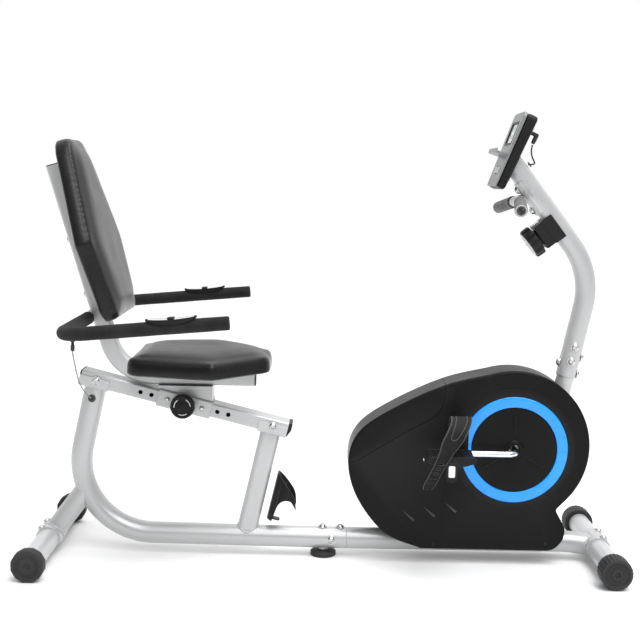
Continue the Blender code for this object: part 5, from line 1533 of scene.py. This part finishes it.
def cushions():
    seat_corners = [
        (0.0, -0.142, 0.032), (0.200, -0.190, 0.016), (0.319, -0.064, 0.030), (0.319, 0.064, 0.030),
        (0.200, 0.190, 0.016), (0.0, 0.142, 0.032),
    ]
    cushion("seat_pad", "seat_cushion", seat_corners, 0.0380, 0.014, at((-0.4460, 0, SEAT_BOTTOM + 0.0012)))
    back_corners = [
        (0.0, -0.131, 0.036), (0.183, -0.186, 0.022), (0.420, -0.080, 0.055), (0.420, 0.080, 0.055),
        (0.183, 0.186, 0.022), (0.0, 0.131, 0.036),
    ]
    lowest = SEAT_CORNER + seat_up() * 0.129
    front = BACK_TURN @ Vector((SEAT_TUBE / 2 + PLATE + 0.0012, 0, 0))
    turn = about_y(-SEAT_LEAN - math.pi / 2) @ Matrix.Rotation(math.pi, 4, "X")
    cushion("back_pad", "back_cushion", back_corners, 0.0380, 0.010, at(lowest + front, turn))


def handle_path(side, radius=0.060, step=3):
    out = Vector((0, side * HANDLE_HALF_SPAN, 0))
    corners = [(HANDLE_REAR, 0), (HANDLE_REAR + out, radius), (HANDLE_FRONT + out, 0)]
    return rounded(corners, step=math.radians(step))


def seat_handlebar():
    """The bent steel bar behind the backrest, with a long foam grip on each arm."""
    normal = (HANDLE_FRONT - HANDLE_REAR).normalized().cross(ACROSS)
    right, left = handle_path(-1), handle_path(1)
    bar = sweep([*reversed(right), *left[1:]], circle(HANDLE_RADIUS, 44), normal)
    shapes = [bar]
    for side in (-1, 1):
        shapes.append(ring_about(HANDLE_REAR + ACROSS * side * (SEAT_TUBE / 2 + 0.0015), ACROSS, HANDLE_RADIUS, 0.0024))
    piece("side_bar", PAINT, shapes, "seat", ["seat_handlebar"])
    for side, hand in SIDES:
        path = handle_path(side)
        path[0] = path[0] + ACROSS * side * 0.036
        way = (path[-1] - path[-2]).normalized()
        section = circle(1, 44)
        spots = []
        for a, b in zip(path, path[1:]):
            count = max(1, round((b - a).length / 0.012))
            spots += [a.lerp(b, k / count) for k in range(count)]
        spots.append(path[-1] + way * 0.0010)
        rings = []
        first = (spots[1] - spots[0]).normalized()
        ends = [(-0.0002, 0.80), (0.0, 0.94), (0.0008, 1.0)]
        for index, point in enumerate(spots):
            before = spots[max(index - 1, 0)]
            after = spots[min(index + 1, len(spots) - 1)]
            heading = (after - before).normalized()
            squeeze = 1 + 0.012 * math.sin(index * 0.9) * math.sin(index * 0.37)
            radii = [(0.0, squeeze)]
            if index == 0:
                radii = ends
            if index == len(spots) - 1:
                radii = [(0.0, 1.0), (0.0016, 0.985), (0.0030, 0.93), (0.0038, 0.84), (0.0040, 0.60), (0.0036, 0.56), (0.0036, 0.02)]
            for shift, scale in radii:
                base = point + heading * shift
                rings.append([base + (normal * a + heading.cross(normal) * b) * GRIP_RADIUS * scale for a, b in section])
        piece(f"side_foam_{hand}", FOAM, [loft(rings)], "seat", [f"seat_grip_{hand}"], sharp=60)
        piece(f"side_foam_ring_{hand}", RUBBER, [ring_about(spots[0], first, 0.0128, 0.0022)], "seat")


def pulse_sensors():
    """A dished finger rest with two bright plates on top of each grip."""
    way = (HANDLE_FRONT - HANDLE_REAR).normalized()
    tilt = -math.atan2(way.z, way.x)
    for side, hand in SIDES:
        place = at(HANDLE_FRONT - way * 0.112 + ACROSS * side * HANDLE_HALF_SPAN, about_y(tilt))
        base_rings, plates = [], []
        reach = 0.052
        steps = 40
        for k in range(steps + 1):
            x = -reach + 2 * reach * k / steps
            share = x / reach
            wide = 0.0152 * math.sqrt(1 - 0.90 * share**4)
            rim = 0.0172 + 0.0034 * share**2
            skirt = rim - 0.0042 - 0.0070 * (1 - share**2)
            ring = [Vector((x, edge * wide, rim - 0.0012 * (1 - edge**2))) for edge in (-1, -0.88, -0.4, 0, 0.4, 0.88, 1)]
            ring += [Vector((x, edge * wide, skirt + drop)) for edge, drop in ((1, 0), (0.88, 0), (0, 0.004), (-0.88, 0), (-1, 0))]
            base_rings.append(ring)
        for start, end in ((-0.90, -0.12), (0.12, 0.90)):
            rings = []
            for k in range(13):
                share = start + (end - start) * k / 12
                x = share * reach
                wide = 0.0112 * math.sqrt(1 - 0.90 * share**4)
                high = 0.0180 + 0.0032 * share**2
                top = [(edge, high - 0.0010 * edge**2) for edge in (-1, -0.5, 0, 0.5, 1)]
                under = [(edge, high - 0.0020) for edge in (1, 0.5, 0, -0.5, -1)]
                rings.append([Vector((x, edge * wide, z)) for edge, z in top + under])
            plates.append(loft(rings))
        nub = moved(slab(0.022, 0.007, 0.0025, -0.0065, 0.0065), at((0, 0, 0.0176)))
        shapes = [moved(shape, place) for shape in (loft(base_rings), nub)]
        piece(f"pulse_rest_{hand}", BLACK, shapes, "seat", [f"pulse_sensor_{hand}"], edge=0.0004)
        piece(f"pulse_plates_{hand}", CHROME, [moved(shape, place) for shape in plates], "seat", edge=0.0003)


# ---- solids that are hidden inside and keep their own shape ----
def inner_solids():
    for names, material in (
        (("bottom_bracket",), PAINT), (("bearing_cup_right", "bearing_cup_left", "flywheel_fork", "magnet_bracket"), ZINC),
        (("flywheel",), IRON), (("drive_pulley",), BLACK), (("drive_belt",), RUBBER),
    ):
        for name in names:
            solid = frame["nodes"][name]
            solid.data.materials.clear()
            solid.data.materials.append(material)
            soften(solid, 0.0004, 2)


# ---- camera, light and floor ----
def camera():
    data = bpy.data.cameras.new("camera")
    data.lens = 66.8
    data.sensor_width = 36
    pitch, roll = math.radians(6.68), math.radians(1.13)
    made = bpy.data.objects.new("camera", data)
    turn = Matrix.Rotation(math.pi / 2 - pitch, 4, "X") @ Matrix.Rotation(roll, 4, "Z")
    made.matrix_world = Matrix.Translation((-0.018, -2.72, 0.875)) @ turn
    bpy.context.scene.collection.objects.link(made)
    bpy.context.scene.camera = made


def area_light(name, place, target, size, power):
    data = bpy.data.lights.new(name, "AREA")
    data.shape = "RECTANGLE"
    data.size, data.size_y = size
    data.energy = power
    made = bpy.data.objects.new(name, data)
    made.matrix_world = at(place, (Vector(target) - Vector(place)).to_track_quat("-Z", "Y").to_matrix().to_4x4())
    bpy.context.scene.collection.objects.link(made)


def studio():
    """A pale floor under a bright sky that is dimmer behind the camera."""
    world = bpy.data.worlds.new("studio")
    bpy.context.scene.world = world
    world.use_nodes = True
    background = world.node_tree.nodes["Background"]
    place = node(world, "ShaderNodeTexCoord")
    split = node(world, "ShaderNodeSeparateXYZ")
    link(world, place.outputs["Generated"], split.inputs["Vector"])
    depth = spread(world, split.outputs["Y"], 0.16, 1.0, -0.5, 0.8)
    height = spread(world, split.outputs["Z"], 0.0, 0.45, 0.15, 1.0)
    total = node(world, "ShaderNodeMath", operation="ADD")
    link(world, depth, total.inputs[0])
    link(world, height, total.inputs[1])
    path = node(world, "ShaderNodeLightPath")
    seen = node(world, "ShaderNodeMix", data_type="FLOAT")
    link(world, path.outputs["Is Camera Ray"], seen.inputs["Factor"])
    link(world, total.outputs["Value"], seen.inputs["A"])
    seen.inputs["B"].default_value = 1.0
    link(world, seen.outputs["Result"], background.inputs["Strength"])
    background.inputs["Color"].default_value = (1, 1, 1, 1)

    sun = bpy.data.lights.new("sky_sun", "SUN")
    sun.energy = 1.6
    sun.angle = math.radians(35)
    lamp = bpy.data.objects.new("sky_sun", sun)
    lamp.matrix_world = at((0, 0, 4), Vector((-0.30, 0.45, -1)).to_track_quat("-Z", "Y").to_matrix().to_4x4())
    bpy.context.scene.collection.objects.link(lamp)
    area_light("soft_front", (0.6, -3.2, 2.6), (0, 0, 0.5), (2.6, 1.6), 45)
    area_light("soft_top", (0.5, 0.2, 3.2), (0.1, 0, 0.5), (2.4, 1.4), 40)

    shape = block((-20, -20, -0.02), (20, 20, -0.0002))
    mesh = bpy.data.meshes.new("studio_floor")
    shape.to_mesh(mesh)
    shape.free()
    made, shader = shader_of("floor_paint", (0.90, 0.90, 0.90), 0.7, Specular_IOR_Level=0.1)
    link(made, tint(made, noise(made, 3, 3), (0.89, 0.89, 0.89), (0.91, 0.91, 0.91)), shader.inputs["Base Color"])
    mesh.materials.append(made)
    floor = bpy.data.objects.new("studio_floor", mesh)
    bpy.context.scene.collection.objects.link(floor)
    bpy.context.scene.view_settings.view_transform = "Standard"


def main():
    for build in (
        camera, studio, jumper, pulse_lead, rear_frame, rear_caps, front_post, seat_rail, bottle_cage, levelling_foot,
        front_frame, front_wheels, mast, crank, pedals, housing, disc_covers, console, tension, front_handlebar,
        seat_slider, release_knob, seat_tube, cushions, seat_handlebar, pulse_sensors, inner_solids,
    ):
        build()


main()
